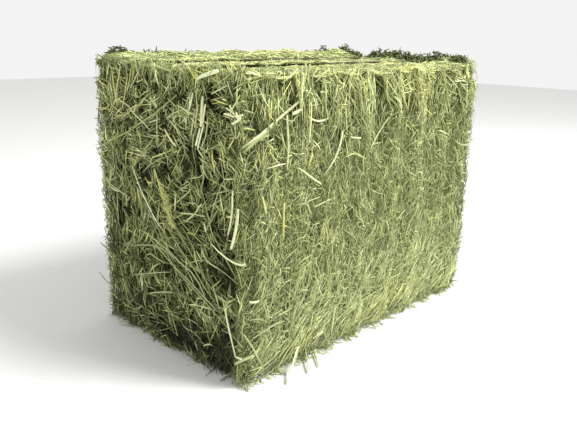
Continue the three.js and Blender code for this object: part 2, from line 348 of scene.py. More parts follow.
def grass():
    stem = Finish("grass_stems", Roughness=0.55)
    spot = stem.node("ShaderNodeUVMap", {"uv_map": "OFBake"})
    ripeness = stem.node("ShaderNodeSeparateXYZ", inputs={"Vector": spot}, output="X")
    tone = stem.node("ShaderNodeSeparateXYZ", inputs={"Vector": spot}, output="Y")
    fleck = stem.node("ShaderNodeTexNoise", {"noise_dimensions": "2D"}, {
        "Vector": spot, "Scale": FLECK_SCALE, "Detail": 2.0})
    colour = stem.node("ShaderNodeValToRGB", {"stops": RIPENESS_COLOURS}, {"Fac": ripeness})
    bleach = stem.blend(tone * 0.8 + fleck * 0.2, DARKEST_TONE, PALEST_TONE)
    stem.feed("Base Color", stem.blend(1.0, colour, bleach, "MULTIPLY"))
    stem.feed("Roughness", fleck * 0.3 + 0.4)
    return stem.material


def unit(vectors):
    return vectors / np.maximum(np.linalg.norm(vectors, axis=-1, keepdims=True), TINY)


def back_inside(places, size, proud):
    """How far each stem has to move so that it passes a face's edges by no more than its overhang."""
    return (np.maximum(0, -proud - places.min(1)) - np.maximum(0, places.max(1) - size - proud))[:, None]


def lay_stems(face, u, v, turn, length, width, depth, ripeness, tone, rings=3, tilt=0.003, curl=0.12,
              ground=None, flatness=0.5, point=0.5, roll=0.5, overhang=0.003, ripest=0.9):
    """Lays stems along a face by their middles: turn is the way they lie, depth how far they stand proud."""
    count = len(u)
    step = np.linspace(-0.5, 0.5, rings)
    reach = length[:, None] * step
    sway = (dice.normal(0, curl, count) * length)[:, None] * (4 * step ** 2 - 0.33)
    across, upward = np.cos(turn)[:, None], np.sin(turn)[:, None]
    us = u[:, None] + reach * across - sway * upward
    vs = v[:, None] + reach * upward + sway * across
    proud = np.minimum(dice.exponential(overhang, count), MOST_OVERHANG)
    us = us + back_inside(us, face.width, proud)
    vs = vs + back_inside(vs, face.height, proud)
    out = face.lift(us, vs, face.close if ground is None else ground) + depth[:, None]
    out = out + dice.normal(0, tilt, count)[:, None] * step * 2
    points = face.place(us, vs, out)
    points[..., 2] += np.maximum(0, FLOOR_CLEARANCE + width / 2 - points[..., 2].min(1))[:, None]
    return stem_frame(points, face.outward, width, np.minimum(ripeness, ripest), tone, flatness, point,
                      dice.normal(0, roll, count))


def stem_frame(points, outward, width, ripeness, tone, flatness, point, roll):
    """Works out each stem's two ways across and its colours, from its path of points."""
    count, rings = points.shape[:2]
    step = np.linspace(-1, 1, rings)
    ahead = unit(np.gradient(points, axis=1))
    side = unit(np.cross(ahead, outward))
    over = np.cross(side, ahead)
    turned_side = np.cos(roll)[:, None, None] * side + np.sin(roll)[:, None, None] * over
    turned_over = np.cross(turned_side, ahead)
    half = width[:, None] / 2 * (1 - point * np.abs(step) ** 3)
    fade = dice.uniform(*TONE_FADE, count)[:, None] * step * dice.choice((-1, 1), count)[:, None]
    return {"points": points, "side": turned_side, "over": turned_over,
            "half": half, "thick": half * flatness,
            "ripeness": np.clip(ripeness, 0.01, 0.985), "tone": np.clip(tone[:, None] + fade, 0.01, 0.97)}


def stem_rings(stems, chosen, sides):
    angle = 2 * np.pi * np.arange(sides) / sides
    cosine, sine = np.cos(angle)[:, None], np.sin(angle)[:, None]
    side, over = stems["side"][chosen][:, :, None], stems["over"][chosen][:, :, None]
    half, thick = stems["half"][chosen][:, :, None, None], stems["thick"][chosen][:, :, None, None]
    corners = stems["points"][chosen][:, :, None] + half * cosine * side + thick * sine * over
    colour = np.empty(corners.shape[:3] + (2,))
    colour[..., 0] = stems["ripeness"][chosen][:, None, None] + COLOUR_WIDTH * np.arange(sides)
    colour[..., 1] = stems["tone"][chosen][:, :, None] + COLOUR_WIDTH * (np.arange(sides) == 1)
    return corners, colour


def stem_piece(name, chosen_stems, sides=STEM_SIDES):
    """Joins stems into one piece: rings of corners joined by four-sided walls, with a cap at each end."""
    points, colours, loops, sizes, start = [], [], [], [], 0
    for stems, chosen in chosen_stems:
        corners, colour = stem_rings(stems, chosen, sides)
        count, rings = corners.shape[:2]
        number = start + np.arange(count * rings * sides).reshape(count, rings, sides)
        lower, upper = number[:, :-1], number[:, 1:]
        walls = np.stack((lower, upper, np.roll(upper, -1, 2), np.roll(lower, -1, 2)), axis=-1)
        loops += [walls.ravel(), number[:, 0].ravel(), number[:, -1, ::-1].ravel()]
        sizes += [np.full(walls.size // WALL_CORNERS, WALL_CORNERS), np.full(2 * count, sides)]
        points.append(corners.reshape(-1, 3))
        colours.append(colour.reshape(-1, 2))
        start += number.size
    points, colours = np.concatenate(points), np.concatenate(colours)
    loops, sizes = np.concatenate(loops), np.concatenate(sizes)
    first_loops = np.concatenate(([0], np.cumsum(sizes)[:-1]))
    mesh = bpy.data.meshes.new(name)
    mesh.vertices.add(len(points))
    mesh.vertices.foreach_set("co", points.ravel())
    mesh.loops.add(len(loops))
    mesh.loops.foreach_set("vertex_index", loops.astype(np.int32))
    mesh.polygons.add(len(sizes))
    mesh.polygons.foreach_set("loop_start", first_loops.astype(np.int32))
    mesh.polygons.foreach_set("use_smooth", sizes == WALL_CORNERS)
    mesh.update(calc_edges=True)
    mesh.uv_layers.new(name="OFBake").data.foreach_set("uv", colours[loops].ravel())
    mesh.materials.append(grass_finish)
    piece = bpy.data.objects.new(name, mesh)
    bpy.context.collection.objects.link(piece)
    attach(piece, "root")


# Two steps that spread wisps evenly over a face, however many there are.
WISP_STEP_ALONG, WISP_STEP_UP = 0.754878, 0.569840


def wisps(face, group):
    """Spreads a group's wisps over a face: the middles of their stems, and the wisp that each stem is in."""
    order = np.arange(group["wisps"])
    middle_u = (order * WISP_STEP_ALONG + dice.uniform()) % 1 * face.width
    middle_v = (order * WISP_STEP_UP + dice.uniform()) % 1 * face.height
    wisp = np.repeat(order, group["each"])
    u = middle_u[wisp] + dice.normal(0, group["spread"], wisp.size)
    v = middle_v[wisp] + dice.normal(0, group["spread"], wisp.size)
    return np.clip(u, 0, face.width), np.clip(v, 0, face.height), wisp


def varied(value, wisp, between_wisps, within_a_wisp):
    """A value that differs from wisp to wisp, and again from stem to stem."""
    of_wisp = dice.normal(0, between_wisps, wisp[-1] + 1)[wisp]
    return value + of_wisp + dice.normal(0, within_a_wisp, wisp.size)


def some(span, count):
    """Sizes anywhere between the least and the most."""
    return dice.uniform(*span, count)


def toward(value, goal, share):
    return value + share * (goal - value)


def drift(u, v, span, starts=None):
    """A slow change from place to place over a face, between -1 and 1."""
    first, second, third, fourth = dice.uniform(0, 2 * np.pi, 4) if starts is None else starts
    wave = 2 * np.pi / span
    along = np.sin(wave * u + first + 1.3 * np.sin(0.7 * wave * v + second))
    upward = np.sin(1.2 * wave * v + third + 1.1 * np.sin(0.6 * wave * u + fourth))
    return (along + upward) / 2


def sight(column, row):
    """The line of sight through a pixel of the picture."""
    level = VIEW_DIRECTION * FOCAL_PIXELS + picture_right * (column - PICTURE_WIDTH / 2)
    return level + picture_up * (PICTURE_HEIGHT / 2 - row)


def on_face(face, pixel, lift):
    """The place on a face, this far above the hay, that shows at a pixel of the picture."""
    ray = np.array(sight(*pixel))
    eye = np.array(EYE) - face.corner
    out = np.median(face.bridged) + lift
    for _ in range(4):
        spot = eye + ray * ((out - eye @ face.outward) / (ray @ face.outward))
        u, v = spot @ face.along, spot @ face.up
        out = face.lift(u, v, face.bridged) + lift
    return u, v


def seen_spots(face, spots):
    """Spots of a face that are given by the pixel of their middle, with how wide and how high they are."""
    return [(*on_face(face, pixel, 0), wide, tall) for pixel, wide, tall in spots]


def within(u, v, spots):
    """How far inside the nearest of some spots each place of a face lies, from 0 to 1."""
    share = np.zeros(len(u))
    for spot_u, spot_v, wide, tall in spots:
        share = np.maximum(share, np.clip(1.5 - np.hypot((u - spot_u) / wide, (v - spot_v) / tall), 0, 1))
    return share


def strewn(face, u, v, turn, length, width, depth, ripeness, tone, **how):
    """Stems strewn one by one: length and width are spans, the rest are each a middle and its spread."""
    count = len(u)
    return lay_stems(face, u, v, turn, some(length, count), some(width, count), dice.normal(*depth, count),
                     dice.normal(*ripeness, count), dice.normal(*tone, count), **how)


# Chaff is broken leaf, short and flat, which lies every way. It keeps out of bare spots and off open twines.
CHAFF_LENGTH, CHAFF_WIDTH = (0.005, 0.013), (0.0012, 0.0030)
CHAFF_UNEVEN = 0.0015
LANE_CLEAR = 0.012
BARE_SHARE = 0.4


def chaff(face, count, colour, depth, bare=(), lanes_along=(), lanes_up=()):
    u, v = dice.uniform(0, face.width, count), dice.uniform(0, face.height, count)
    keep = within(u, v, bare) < BARE_SHARE
    for lane in lanes_along:
        keep &= np.abs(v - lane) > LANE_CLEAR
    for lane in lanes_up:
        keep &= np.abs(u - lane) > LANE_CLEAR
    u, v = u[keep], v[keep]
    turn = dice.uniform(0, np.pi, len(u))
    return strewn(face, u, v, turn, CHAFF_LENGTH, CHAFF_WIDTH, (depth, CHAFF_UNEVEN),
                  (colour, 0.14), (0.55, 0.2), rings=2, flatness=0.25, point=0.3, roll=0.4)


# The upright mat has a layer of short stems that stray and one of longer, straighter ones.
# It changes in zones: the foot, the head, the upright edges, the near corner's foot, and next to the ground; at
# the edges, the near corner's foot and next to the ground it is painted darker as the shade there.
MATS = (
    {"wisps": 1750, "each": 8, "spread": 0.011, "length": (0.008, 0.022), "stray": 0.68, "rings": 2},
    {"wisps": 640, "each": 7, "spread": 0.011, "length": (0.022, 0.046), "stray": 0.30, "rings": 3})
MAT_WIDTH = (0.0010, 0.0020)
MAT_LEVEL = -0.003
MAT_UNEVEN = (0.002, 0.002)
MAT_DEPTHS = (-0.010, 0.002)
MAT_OVERHANG = 0.002
GAP_SINK, HEAD_SINK = 0.005, 0.002
FOOT_LEAN = np.radians(35)
FOOT_ZONE = 0.20
HEAD_FROM, HEAD_ZONE = 0.32, 0.10
EDGE_ZONE = 0.040
CORNER_SHADE_ZONE = 0.18
GROUND_SHADE_ZONE = 0.05
RIPENESS_SPAN, TONE_SPAN = 0.13, 0.08
# Painted shade: stems are darker at the upright edges, in the gaps, at the near corner's foot and next to the
# ground. The foot is paler.
MAT_RIPENESS = {"edge": -0.08, "shaded_gap": -0.10}
MAT_TONE = {"foot": 0.27, "edge": -0.20, "shaded_gap": -0.22, "corner": -0.20, "ground": -0.18}


def side_mat(face, mat, lean, flare, yellow, shaded_gaps):
    u, v, wisp = wisps(face, mat)
    foot = np.clip(1.2 - v / FOOT_ZONE, 0, 1)
    head = np.clip((v - HEAD_FROM) / HEAD_ZONE, 0, 1)
    edge = np.clip(1 - np.minimum(u, face.width - u) / EDGE_ZONE, 0, 1)
    corner = foot * np.clip(1 - u / CORNER_SHADE_ZONE, 0, 1)
    ground = np.clip(1 - v / GROUND_SHADE_ZONE, 0, 1)
    shaded_gap = within(u, v, shaded_gaps)
    stray = varied(0, wisp, mat["stray"], mat["stray"] * 0.7) * (1 - 0.3 * head + edge)
    turn = UPRIGHT - lean * FOOT_LEAN * foot + stray
    depth = np.clip(varied(MAT_LEVEL, wisp, *MAT_UNEVEN) - HEAD_SINK * head, *MAT_DEPTHS)
    ripeness = varied(SAGE + 0.11 + 0.06 * drift(u, v, RIPENESS_SPAN), wisp, 0.05, 0.08)
    # Painted shade: deeper stems are greener and darker, the more so towards the head.
    ripeness = ripeness + depth * (18 + 16 * head) + MAT_RIPENESS["edge"] * edge + MAT_RIPENESS["shaded_gap"] * shaded_gap
    ripeness = toward(ripeness, PALE, 0.8 * foot)
    ripeness = toward(ripeness, LEMON, 0.5 * within(u, v, yellow))
    tone = varied(0.52 + 0.08 * drift(u, v, TONE_SPAN), wisp, 0.12, 0.15 + 0.06 * edge)
    zones = {"foot": foot, "edge": edge, "shaded_gap": shaded_gap, "corner": corner, "ground": ground}
    for zone, share in zones.items():
        tone = tone + MAT_TONE[zone] * share
    return lay_stems(face, u, v, turn, some(mat["length"], u.size), some(MAT_WIDTH, u.size),
                     depth + flare * edge - GAP_SINK * shaded_gap, ripeness, tone, rings=mat["rings"],
                     overhang=MAT_OVERHANG)


# Along the top edge, long stems hang down over the mat, and short ones lie every way among them.
HANGING = {"wisps": 100, "each": 5, "spread": 0.007, "length": (0.025, 0.085), "width": (0.0014, 0.0030)}
HANGING_DROP = 0.05
HANGING_SPAN = 0.16
HANGING_SINK = 0.008
HANGING_UNEVEN = (0.002, 0.0015)
TANGLED = {"wisps": 170, "each": 4, "spread": 0.009, "length": (0.010, 0.036), "width": (0.0013, 0.0032)}
TANGLED_INSET = 0.002
TANGLED_DROP = 0.13
TANGLED_DEPTH = (0.001, 0.002)
STRAIGHT = {"curl": 0.05, "overhang": 0.001}


def hanging_stems(face, yellow, shaded_gaps):
    u, v, wisp = wisps(face, HANGING)
    length = some(HANGING["length"], u.size)
    v = face.height - length / 2 - HANGING_DROP * (v / face.height) ** 2
    turn = varied(UPRIGHT, wisp, 0.28, 0.22)
    ripeness = varied(SAGE + 0.10 + 0.10 * drift(u, v, HANGING_SPAN), wisp, 0.12, 0.10)
    shaded_gap = within(u, v, shaded_gaps)
    # Stems in a gap are sunk and painted greener and darker, as the shade in the gap.
    ripeness = toward(ripeness, LEMON, 0.6 * within(u, v, yellow)) - 0.1 * shaded_gap
    width = some(HANGING["width"], u.size)
    depth = varied(0, wisp, *HANGING_UNEVEN) - HANGING_SINK * shaded_gap
    tone = varied(0.54, wisp, 0.14, 0.12) - 0.2 * shaded_gap
    return lay_stems(face, u, v, turn, length, width, depth, ripeness, tone, rings=5, **STRAIGHT)


def tangled_stems(face, yellow, shaded_gaps):
    u, v, wisp = wisps(face, TANGLED)
    v = face.height - TANGLED_INSET - TANGLED_DROP * (v / face.height) ** 1.5
    turn = dice.uniform(0, np.pi, TANGLED["wisps"])[wisp] + dice.normal(0, 0.5, u.size)
    ripeness = toward(varied(SAGE + 0.15, wisp, 0.14, 0.10), LEMON, 0.6 * within(u, v, yellow))
    keep = within(u, v, shaded_gaps) < BARE_SHARE
    count = keep.sum()
    length, width = some(TANGLED["length"], count), some(TANGLED["width"], count)
    depth = dice.normal(*TANGLED_DEPTH, count)
    tone = varied(0.58, wisp, 0.16, 0.12)
    return lay_stems(face, u[keep], v[keep], turn[keep], length, width, depth, ripeness[keep], tone[keep],
                     **STRAIGHT)


# At the foot, stems lean out of the mat. At the upright edges, dark ones fill it, painted dark as the shade at
# the edge, and others make it ragged.
LEANING = {"wisps": 75, "each": 5, "spread": 0.008, "length": (0.018, 0.06), "width": (0.0013, 0.0028)}
LEANING_FROM, LEANING_ZONE = 0.008, 0.045
LEANING_TURN = 0.55
LEANING_DEPTH = (0.001, 0.0015)
FILLING = {"length": (0.014, 0.034), "width": (0.0012, 0.0026), "depth": (-0.014, -0.003)}
FILLING_COUNT = 1100
FILLING_FROM_EDGE = (-0.003, 0.022)
FILLING_FROM_FLOOR = 0.004
FRINGE_LENGTH, FRINGE_WIDTH = (0.012, 0.030), (0.0010, 0.0018)
FRINGE_DEPTH = (-0.002, 0.003)
FRINGE_FROM_FLOOR = 0.02
FRINGE_OVERHANG = 0.006
SIDE_CHAFF, SIDE_FRINGE = 2600, 70


def leaning_stems(face, lean):
    u, v, wisp = wisps(face, LEANING)
    v = LEANING_FROM + LEANING_ZONE * (v / face.height)
    turn = varied(UPRIGHT - lean * LEANING_TURN, wisp, 0.3, 0.15)
    length, width = some(LEANING["length"], u.size), some(LEANING["width"], u.size)
    depth = dice.normal(*LEANING_DEPTH, u.size)
    ripeness = varied(SAGE + 0.12, wisp, 0.10, 0.08)
    tone = varied(0.55, wisp, 0.12, 0.14)
    return lay_stems(face, u, v, turn, length, width, depth, ripeness, tone, rings=4, curl=0.06)


def edge_filling(face):
    from_edge = some(FILLING_FROM_EDGE, FILLING_COUNT)
    u = np.where(dice.random(FILLING_COUNT) < 0.5, from_edge, face.width - from_edge)
    v = dice.uniform(FILLING_FROM_FLOOR, face.height, FILLING_COUNT)
    turn = UPRIGHT + dice.normal(0, 0.5, FILLING_COUNT)
    length, width, depth = (some(FILLING[size], FILLING_COUNT) for size in ("length", "width", "depth"))
    # The filling is painted green and dark as the shade at the upright edges.
    ripeness, tone = dice.normal(SAGE - 0.12, 0.10, FILLING_COUNT), dice.normal(0.32, 0.15, FILLING_COUNT)
    return lay_stems(face, u, v, turn, length, width, depth, ripeness, tone, rings=2, overhang=0.001)


def fringe(face, count, overhang=FRINGE_OVERHANG):
    """Short stems across the two upright edges of a face, which make them ragged."""
    right = dice.random(count) < 0.5
    u = np.where(right, face.width, 0.0)
    v = dice.uniform(FRINGE_FROM_FLOOR, face.height, count)
    turn = np.where(right, 0.0, np.pi) + dice.normal(0, 0.6, count)
    return strewn(face, u, v, turn, FRINGE_LENGTH, FRINGE_WIDTH, FRINGE_DEPTH, (SAGE, 0.12), (0.5, 0.15),
                  curl=0.25, overhang=overhang)


def side_stems(face, lean, flare, yellow, shaded_gaps):
    """All the stems of a long side, which lean one way at its foot and flare out at its upright edges."""
    return [
        *(side_mat(face, mat, lean, flare, yellow, shaded_gaps) for mat in MATS),
        hanging_stems(face, yellow, shaded_gaps),
        tangled_stems(face, yellow, shaded_gaps),
        leaning_stems(face, lean),
        edge_filling(face),
        chaff(face, SIDE_CHAFF, SAGE + 0.1, 0.0, shaded_gaps),
        fringe(face, SIDE_FRINGE),
    ]


# Yellow patches and gaps of the front by their pixels, and of the hidden back by their place, in metres. Gaps are
# painted darker as their shade.
FRONT_YELLOW = (
    ((350, 92), 0.040, 0.035), ((420, 80), 0.075, 0.022), ((388, 297), 0.030, 0.040),
    ((267, 170), 0.014, 0.014), ((300, 74), 0.014, 0.020))
FRONT_SHADED_GAPS = (
    ((379, 98), 0.011, 0.040), ((284, 88), 0.014, 0.020), ((318, 84), 0.008, 0.024),
    ((250, 120), 0.014, 0.030), ((246, 190), 0.014, 0.050), ((410, 108), 0.008, 0.024),
    ((336, 140), 0.010, 0.018), ((250, 290), 0.014, 0.040), ((250, 345), 0.014, 0.030),
    ((294, 72), 0.007, 0.018))
BACK_YELLOW = ((0.10, 0.40, 0.050, 0.030), (0.33, 0.42, 0.070, 0.024), (0.48, 0.10, 0.030, 0.040))
BACK_SHADED_GAPS = ((0.21, 0.38, 0.010, 0.035), (0.43, 0.40, 0.012, 0.030), (0.56, 0.25, 0.014, 0.050))
BACK_FLARE = 0.003
grass_finish = grass()
front_yellow, front_shaded_gaps = seen_spots(front_face, FRONT_YELLOW), seen_spots(front_face, FRONT_SHADED_GAPS)
coat = side_stems(front_face, 1, 0, front_yellow, front_shaded_gaps)
coat += side_stems(back_face, -1, BACK_FLARE, BACK_YELLOW, BACK_SHADED_GAPS)


# Loose stems on the top and underneath: grass pressed flat by the walls of the press, this way and that.
# It is paler on top than underneath, and stands higher behind the rear twine.
# Along the far stretch of each twine it lies open, and on the near stretch stems lie over the twine.
TOP_ROW = 60
OPEN_FROM_COLUMNS = (300, 218)
TOP_COAT = {"wisps": 860, "each": 8, "spread": 0.012, "colour": PALE - 0.04, "tone": 0.86, "crown": 0.009}
UNDER_COAT = {"wisps": 220, "each": 8, "spread": 0.012, "colour": SAGE - 0.07, "tone": 0.66, "crown": 0}
FLAT_LENGTH, FLAT_WIDTH = (0.010, 0.040), (0.0010, 0.0022)
FLAT_LEVEL = -0.005
FLAT_UNEVEN = (0.001, 0.0012)
FLAT_DEPTHS = (-0.008, -0.002)
PRESSED = {"tilt": 0.0006, **STRAIGHT}
RAGGED_START = 0.03
BITE_WIDTH = 0.012
WELL_CLEAR = 0.03
CROWN_SLOPE = 0.02
HIDDEN_DEPTH = (0.0045, 0.001)
STEMS_OVER_TWINE = 2200
OVER_LENGTH, OVER_WIDTH = (0.010, 0.032), (0.0012, 0.0026)
OVER_SPREAD = 0.006
OVER_DEPTH = (0.005, 0.001)
REAR_FILLERS = 1400
REAR_INSET = 0.014
REAR = {"length": (0.015, 0.040), "width": (0.0016, 0.0034), "depth": (-0.004, 0.006)}
TOP_CHAFF, TOP_FRINGE = 900, 90
TOP_CHAFF_LEVEL = -0.004
TWINE_LANES = [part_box(name)[0].y / 2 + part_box(name)[1].y / 2 - near for name in ("twine_front", "twine_back")]


def along_top(column, v):
    """How far along the bale the picture's column meets a line that runs along the top at v."""
    ray = sight(column, TOP_ROW)
    return EYE.x + ray.x * (near + v - EYE.y) / ray.y - left


def flat_stems(face, group, open_from):
    """A flat face: stems lie along the twines where these lie open, and over them where they don't."""
    u, v, wisp = wisps(face, group)
    from_lane = np.minimum(np.abs(v - TWINE_LANES[0]), np.abs(v - TWINE_LANES[1]))
    from_twine = np.ones(u.size)
    for lane, start in zip(TWINE_LANES, open_from):
        is_open = u > start + dice.normal(0, RAGGED_START if start > 0 else 0, u.size)
        from_twine = np.where(is_open, np.minimum(from_twine, np.abs(v - lane)), from_twine)
    bite_and_groove_shade = np.clip(1.7 - from_twine / BITE_WIDTH, 0, 1)
    hidden = (from_lane < BITE_WIDTH) & (from_twine > WELL_CLEAR)
    rear = np.clip((v - TWINE_LANES[1] - BITE_WIDTH) / CROWN_SLOPE, 0, 1)
    turn = varied(0, wisp, 0.9, 0.4) * (1 - 0.9 * bite_and_groove_shade)
    depth = np.clip(varied(FLAT_LEVEL, wisp, *FLAT_UNEVEN), *FLAT_DEPTHS)
    depth = depth + group["crown"] * rear * dice.random(u.size) ** 0.7
    depth = np.where(hidden, dice.normal(*HIDDEN_DEPTH, u.size), depth)
    # Painted shade: beside an open twine the stems are greener and darker, as the shade in its groove.
    ripeness = varied(group["colour"], wisp, 0.08, 0.08) - 0.40 * bite_and_groove_shade
    tone = varied(group["tone"], wisp, 0.14, 0.14) - 0.25 * bite_and_groove_shade
    stems = (u, v, turn, some(FLAT_LENGTH, u.size), some(FLAT_WIDTH, u.size), depth, ripeness, tone)
    return [lay_stems(face, *(values[chosen] for values in stems), ground=ground, **PRESSED)
            for ground, chosen in ((face.close, ~hidden), (face.bridged, hidden))]


def over_twine(lane, stop):
    """Stems that lie over the near stretch of a twine on the top."""
    count = round(STEMS_OVER_TWINE * stop)
    u = dice.uniform(0, stop, count) + dice.normal(0, RAGGED_START, count)
    v = lane + dice.normal(0, OVER_SPREAD, count)
    return strewn(top_face, u, v, dice.normal(0, 0.8, count), OVER_LENGTH, OVER_WIDTH, OVER_DEPTH,
                  (PALE - 0.04, 0.10), (0.78, 0.16), ground=top_face.bridged, **PRESSED)


def rear_filling():
    """Stems packed under the loose ones behind the rear twine, so that no light shows through these."""
    u = dice.uniform(0, HAY_LENGTH, REAR_FILLERS)
    v = dice.uniform(TWINE_LANES[1] + REAR_INSET, HAY_WIDTH, REAR_FILLERS)
    turn = dice.normal(0, 0.6, REAR_FILLERS)
    length, width, depth = (some(REAR[size], REAR_FILLERS) for size in ("length", "width", "depth"))
    ripeness, tone = dice.normal(PALE - 0.05, 0.08, REAR_FILLERS), dice.normal(0.80, 0.14, REAR_FILLERS)
    return lay_stems(top_face, u, v, turn, length, width, depth, ripeness, tone, **PRESSED)


open_from = [along_top(column, lane) for column, lane in zip(OPEN_FROM_COLUMNS, TWINE_LANES)]
coat += flat_stems(top_face, TOP_COAT, open_from)
coat += [chaff(top_face, TOP_CHAFF, PALE, TOP_CHAFF_LEVEL, (), TWINE_LANES), fringe(top_face, TOP_FRINGE)]
coat += [over_twine(lane, stop) for lane, stop in zip(TWINE_LANES, open_from)]
coat.append(rear_filling())
coat += flat_stems(under_face, UNDER_COAT, (0, 0))


# Each flake carries its own share of the stems of the sides, the top and the underneath.
# They grow out of its pressed hay, so they come away with it when the bale is untied.
FLAKE_PITCH = HAY_LENGTH / len(FLAKES)
for number, flake_name in enumerate(FLAKES):
    share = []
    for stems in coat:
        centre = stems["points"][:, :, 0].mean(1) - left
        flake_number = np.clip((centre / FLAKE_PITCH).astype(int), 0, len(FLAKES) - 1)
        share.append((stems, flake_number == number))
    stem_piece(f"{flake_name}_stems", share)


# Loose stems on the two ends: the cut face of the last flake, coarser and more tangled than the sides.
# Short stems lie deep down, painted dark as the shade under a tangle over them, and pale broken pieces on top,
# with hollows between painted darker as their shade.
# Hay covers the twines on the near end. On the far end they lie open, and stems run along them.
END_LAYERS = (
    {"wisps": 620, "each": 9, "spread": 0.010, "length": (0.010, 0.030), "width": (0.0010, 0.0020),
     "rings": 2, "level": -0.009, "stray": 0.8, "colour": GREEN - 0.08, "mixed": 0.08, "tone": 0.34,
     "rise": 0.12, "sunlit": 0, "in_hollows": True, "over_twine": False},
    {"wisps": 540, "each": 7, "spread": 0.010, "length": (0.018, 0.045), "width": (0.0012, 0.0028),
     "rings": 3, "level": -0.004, "stray": 0.6, "colour": SAGE - 0.09, "mixed": 0.10, "tone": 0.46,
     "rise": 0.58, "sunlit": 0, "in_hollows": True, "over_twine": True},
    {"wisps": 430, "each": 4, "spread": 0.010, "length": (0.010, 0.040), "width": (0.0014, 0.0038),
     "rings": 3, "level": 0.0015, "stray": 0.7, "colour": SAGE + 0.12, "mixed": 0.16, "tone": 0.67,
     "rise": 0.58, "sunlit": 0.14, "in_hollows": False, "over_twine": True})
MOUND_SPAN = 0.085
MOUND_HEIGHT = 0.004
HOLLOW_DEPTH = 0.006
END_UNEVEN = (0.002, 0.0015)
COVER_LEVEL = 0.001
TWINE_CLEAR, TWINE_PULL = 0.008, 0.02
LEAN_BELOW, LEAN_ZONE = 0.30, 0.12
POCKETS = 45
POCKETS_FROM_FLOOR = 0.05
POCKET_WIDTH, POCKET_HEIGHT = (0.007, 0.014), (0.007, 0.016)
LONG_STEMS = 110
LONG_LENGTH, LONG_WIDTH = (0.06, 0.14), (0.0014, 0.0024)
LONG_DEPTH = (0.002, 0.0015)
CREST_STEMS = 420
CREST_LENGTH, CREST_WIDTH = (0.014, 0.034), (0.0014, 0.0030)
CREST_RISE = (-0.012, 0.010)
CREST_DEPTH = (-0.006, 0.006)
DEEP_CHAFF, PALE_CHAFF, END_FRINGE = 1300, 1600, 240
PALE_CHAFF_FROM = 0.27
PALE_CHAFF_LEVEL = 0.003
END_OVERHANG = 0.010
# The two wide hollows at the foot of the near end carry the painted shadow along the bale's lower edge.
NEAR_HOLLOWS = (
    ((196, 162), 0.022, 0.020), ((211, 100), 0.012, 0.024), ((228, 272), 0.018, 0.022),
    ((172, 104), 0.016, 0.014), ((120, 215), 0.018, 0.020), ((222, 360), 0.050, 0.040),
    ((186, 337), 0.075, 0.024))
FAR_HOLLOWS = ((0.11, 0.30, 0.020, 0.022), (0.25, 0.16, 0.024, 0.020), (0.19, 0.39, 0.016, 0.018))


def end_turn(u, v, lean):
    """The way that the stems of an end lie: in swirls, and all leaning one way on the lower half."""
    low_half = np.clip((LEAN_BELOW - v) / LEAN_ZONE, 0, 1)
    swirl = 0.9 * np.sin(u * 21 + v * 9) + 0.8 * np.sin(v * 27 - u * 13 + 1)
    return UPRIGHT + swirl * (1 - 0.5 * low_half) - lean * 0.6 * low_half


def end_layer(face, layer, lean, ground, hollows, starts, twine_shows):
    u, v, wisp = wisps(face, layer)
    height = v / face.height
    lit_mound = drift(u, v, MOUND_SPAN, starts)
    sunk_and_shaded = within(u, v, hollows)
    from_twine = np.minimum(np.abs(u - TWINE_LANES[0]), np.abs(u - TWINE_LANES[1]))
    turn = varied(end_turn(u, v, lean), wisp, layer["stray"], layer["stray"] * 0.5)
    # Mounds stand higher and are painted paler; hollows and pockets lie lower and are painted greener and darker.
    # This is painted light and shade.
    depth = varied(layer["level"], wisp, *END_UNEVEN) + MOUND_HEIGHT * lit_mound - HOLLOW_DEPTH * sunk_and_shaded
    ripeness = varied(layer["colour"], wisp, 0.08, layer["mixed"])
    # Towards the top the stems get paler and towards the foot darker, partly sun-bleached grass and partly
    # painted light and shade; the sunlit share is painted light.
    ripeness = ripeness + 0.10 * (height - 0.5) + 0.05 * lit_mound - 0.20 * sunk_and_shaded
    tone = varied(layer["tone"], wisp, 0.21, 0.11) + 0.25 * lit_mound
    tone = tone + layer["rise"] * (height - 0.5) - 0.30 * sunk_and_shaded
    tone = tone + layer["sunlit"] * np.clip((height - 0.6) / 0.25, 0, 1)
    keep = (sunk_and_shaded < 0.5) | layer["in_hollows"]
    if twine_shows:
        keep &= from_twine > TWINE_CLEAR
        turn = np.where(from_twine < TWINE_PULL, UPRIGHT + (turn - UPRIGHT) * 0.25, turn)
    elif layer["over_twine"]:
        depth = np.where(from_twine < TWINE_CLEAR, np.maximum(depth, COVER_LEVEL), depth)
    length, width = some(layer["length"], keep.sum()), some(layer["width"], keep.sum())
    return lay_stems(face, u[keep], v[keep], turn[keep], length, width, depth[keep], ripeness[keep],
                     tone[keep], rings=layer["rings"], tilt=0.004, curl=0.05, ground=ground)


def long_stems(face, lean, hollows):
    u, v = dice.uniform(0, face.width, LONG_STEMS), dice.uniform(0, face.height, LONG_STEMS)
    keep = within(u, v, hollows) < 0.3
    u, v, count = u[keep], v[keep], keep.sum()
    turn = end_turn(u, v, lean) + dice.normal(0, 0.5, count)
    length, width = some(LONG_LENGTH, count), some(LONG_WIDTH, count)
    depth = dice.normal(*LONG_DEPTH, count)
    ripeness = dice.choice((SAGE, PALE), count) + dice.normal(0, 0.06, count)
    # Paler towards the top, partly sun-bleached grass and partly painted light and shade.
    tone = dice.normal(0.5, 0.12, count) + 0.2 * (v / face.height - 0.5)
    return lay_stems(face, u, v, turn, length, width, depth, ripeness, tone,
                     rings=6, ground=face.broad, curl=0.06)


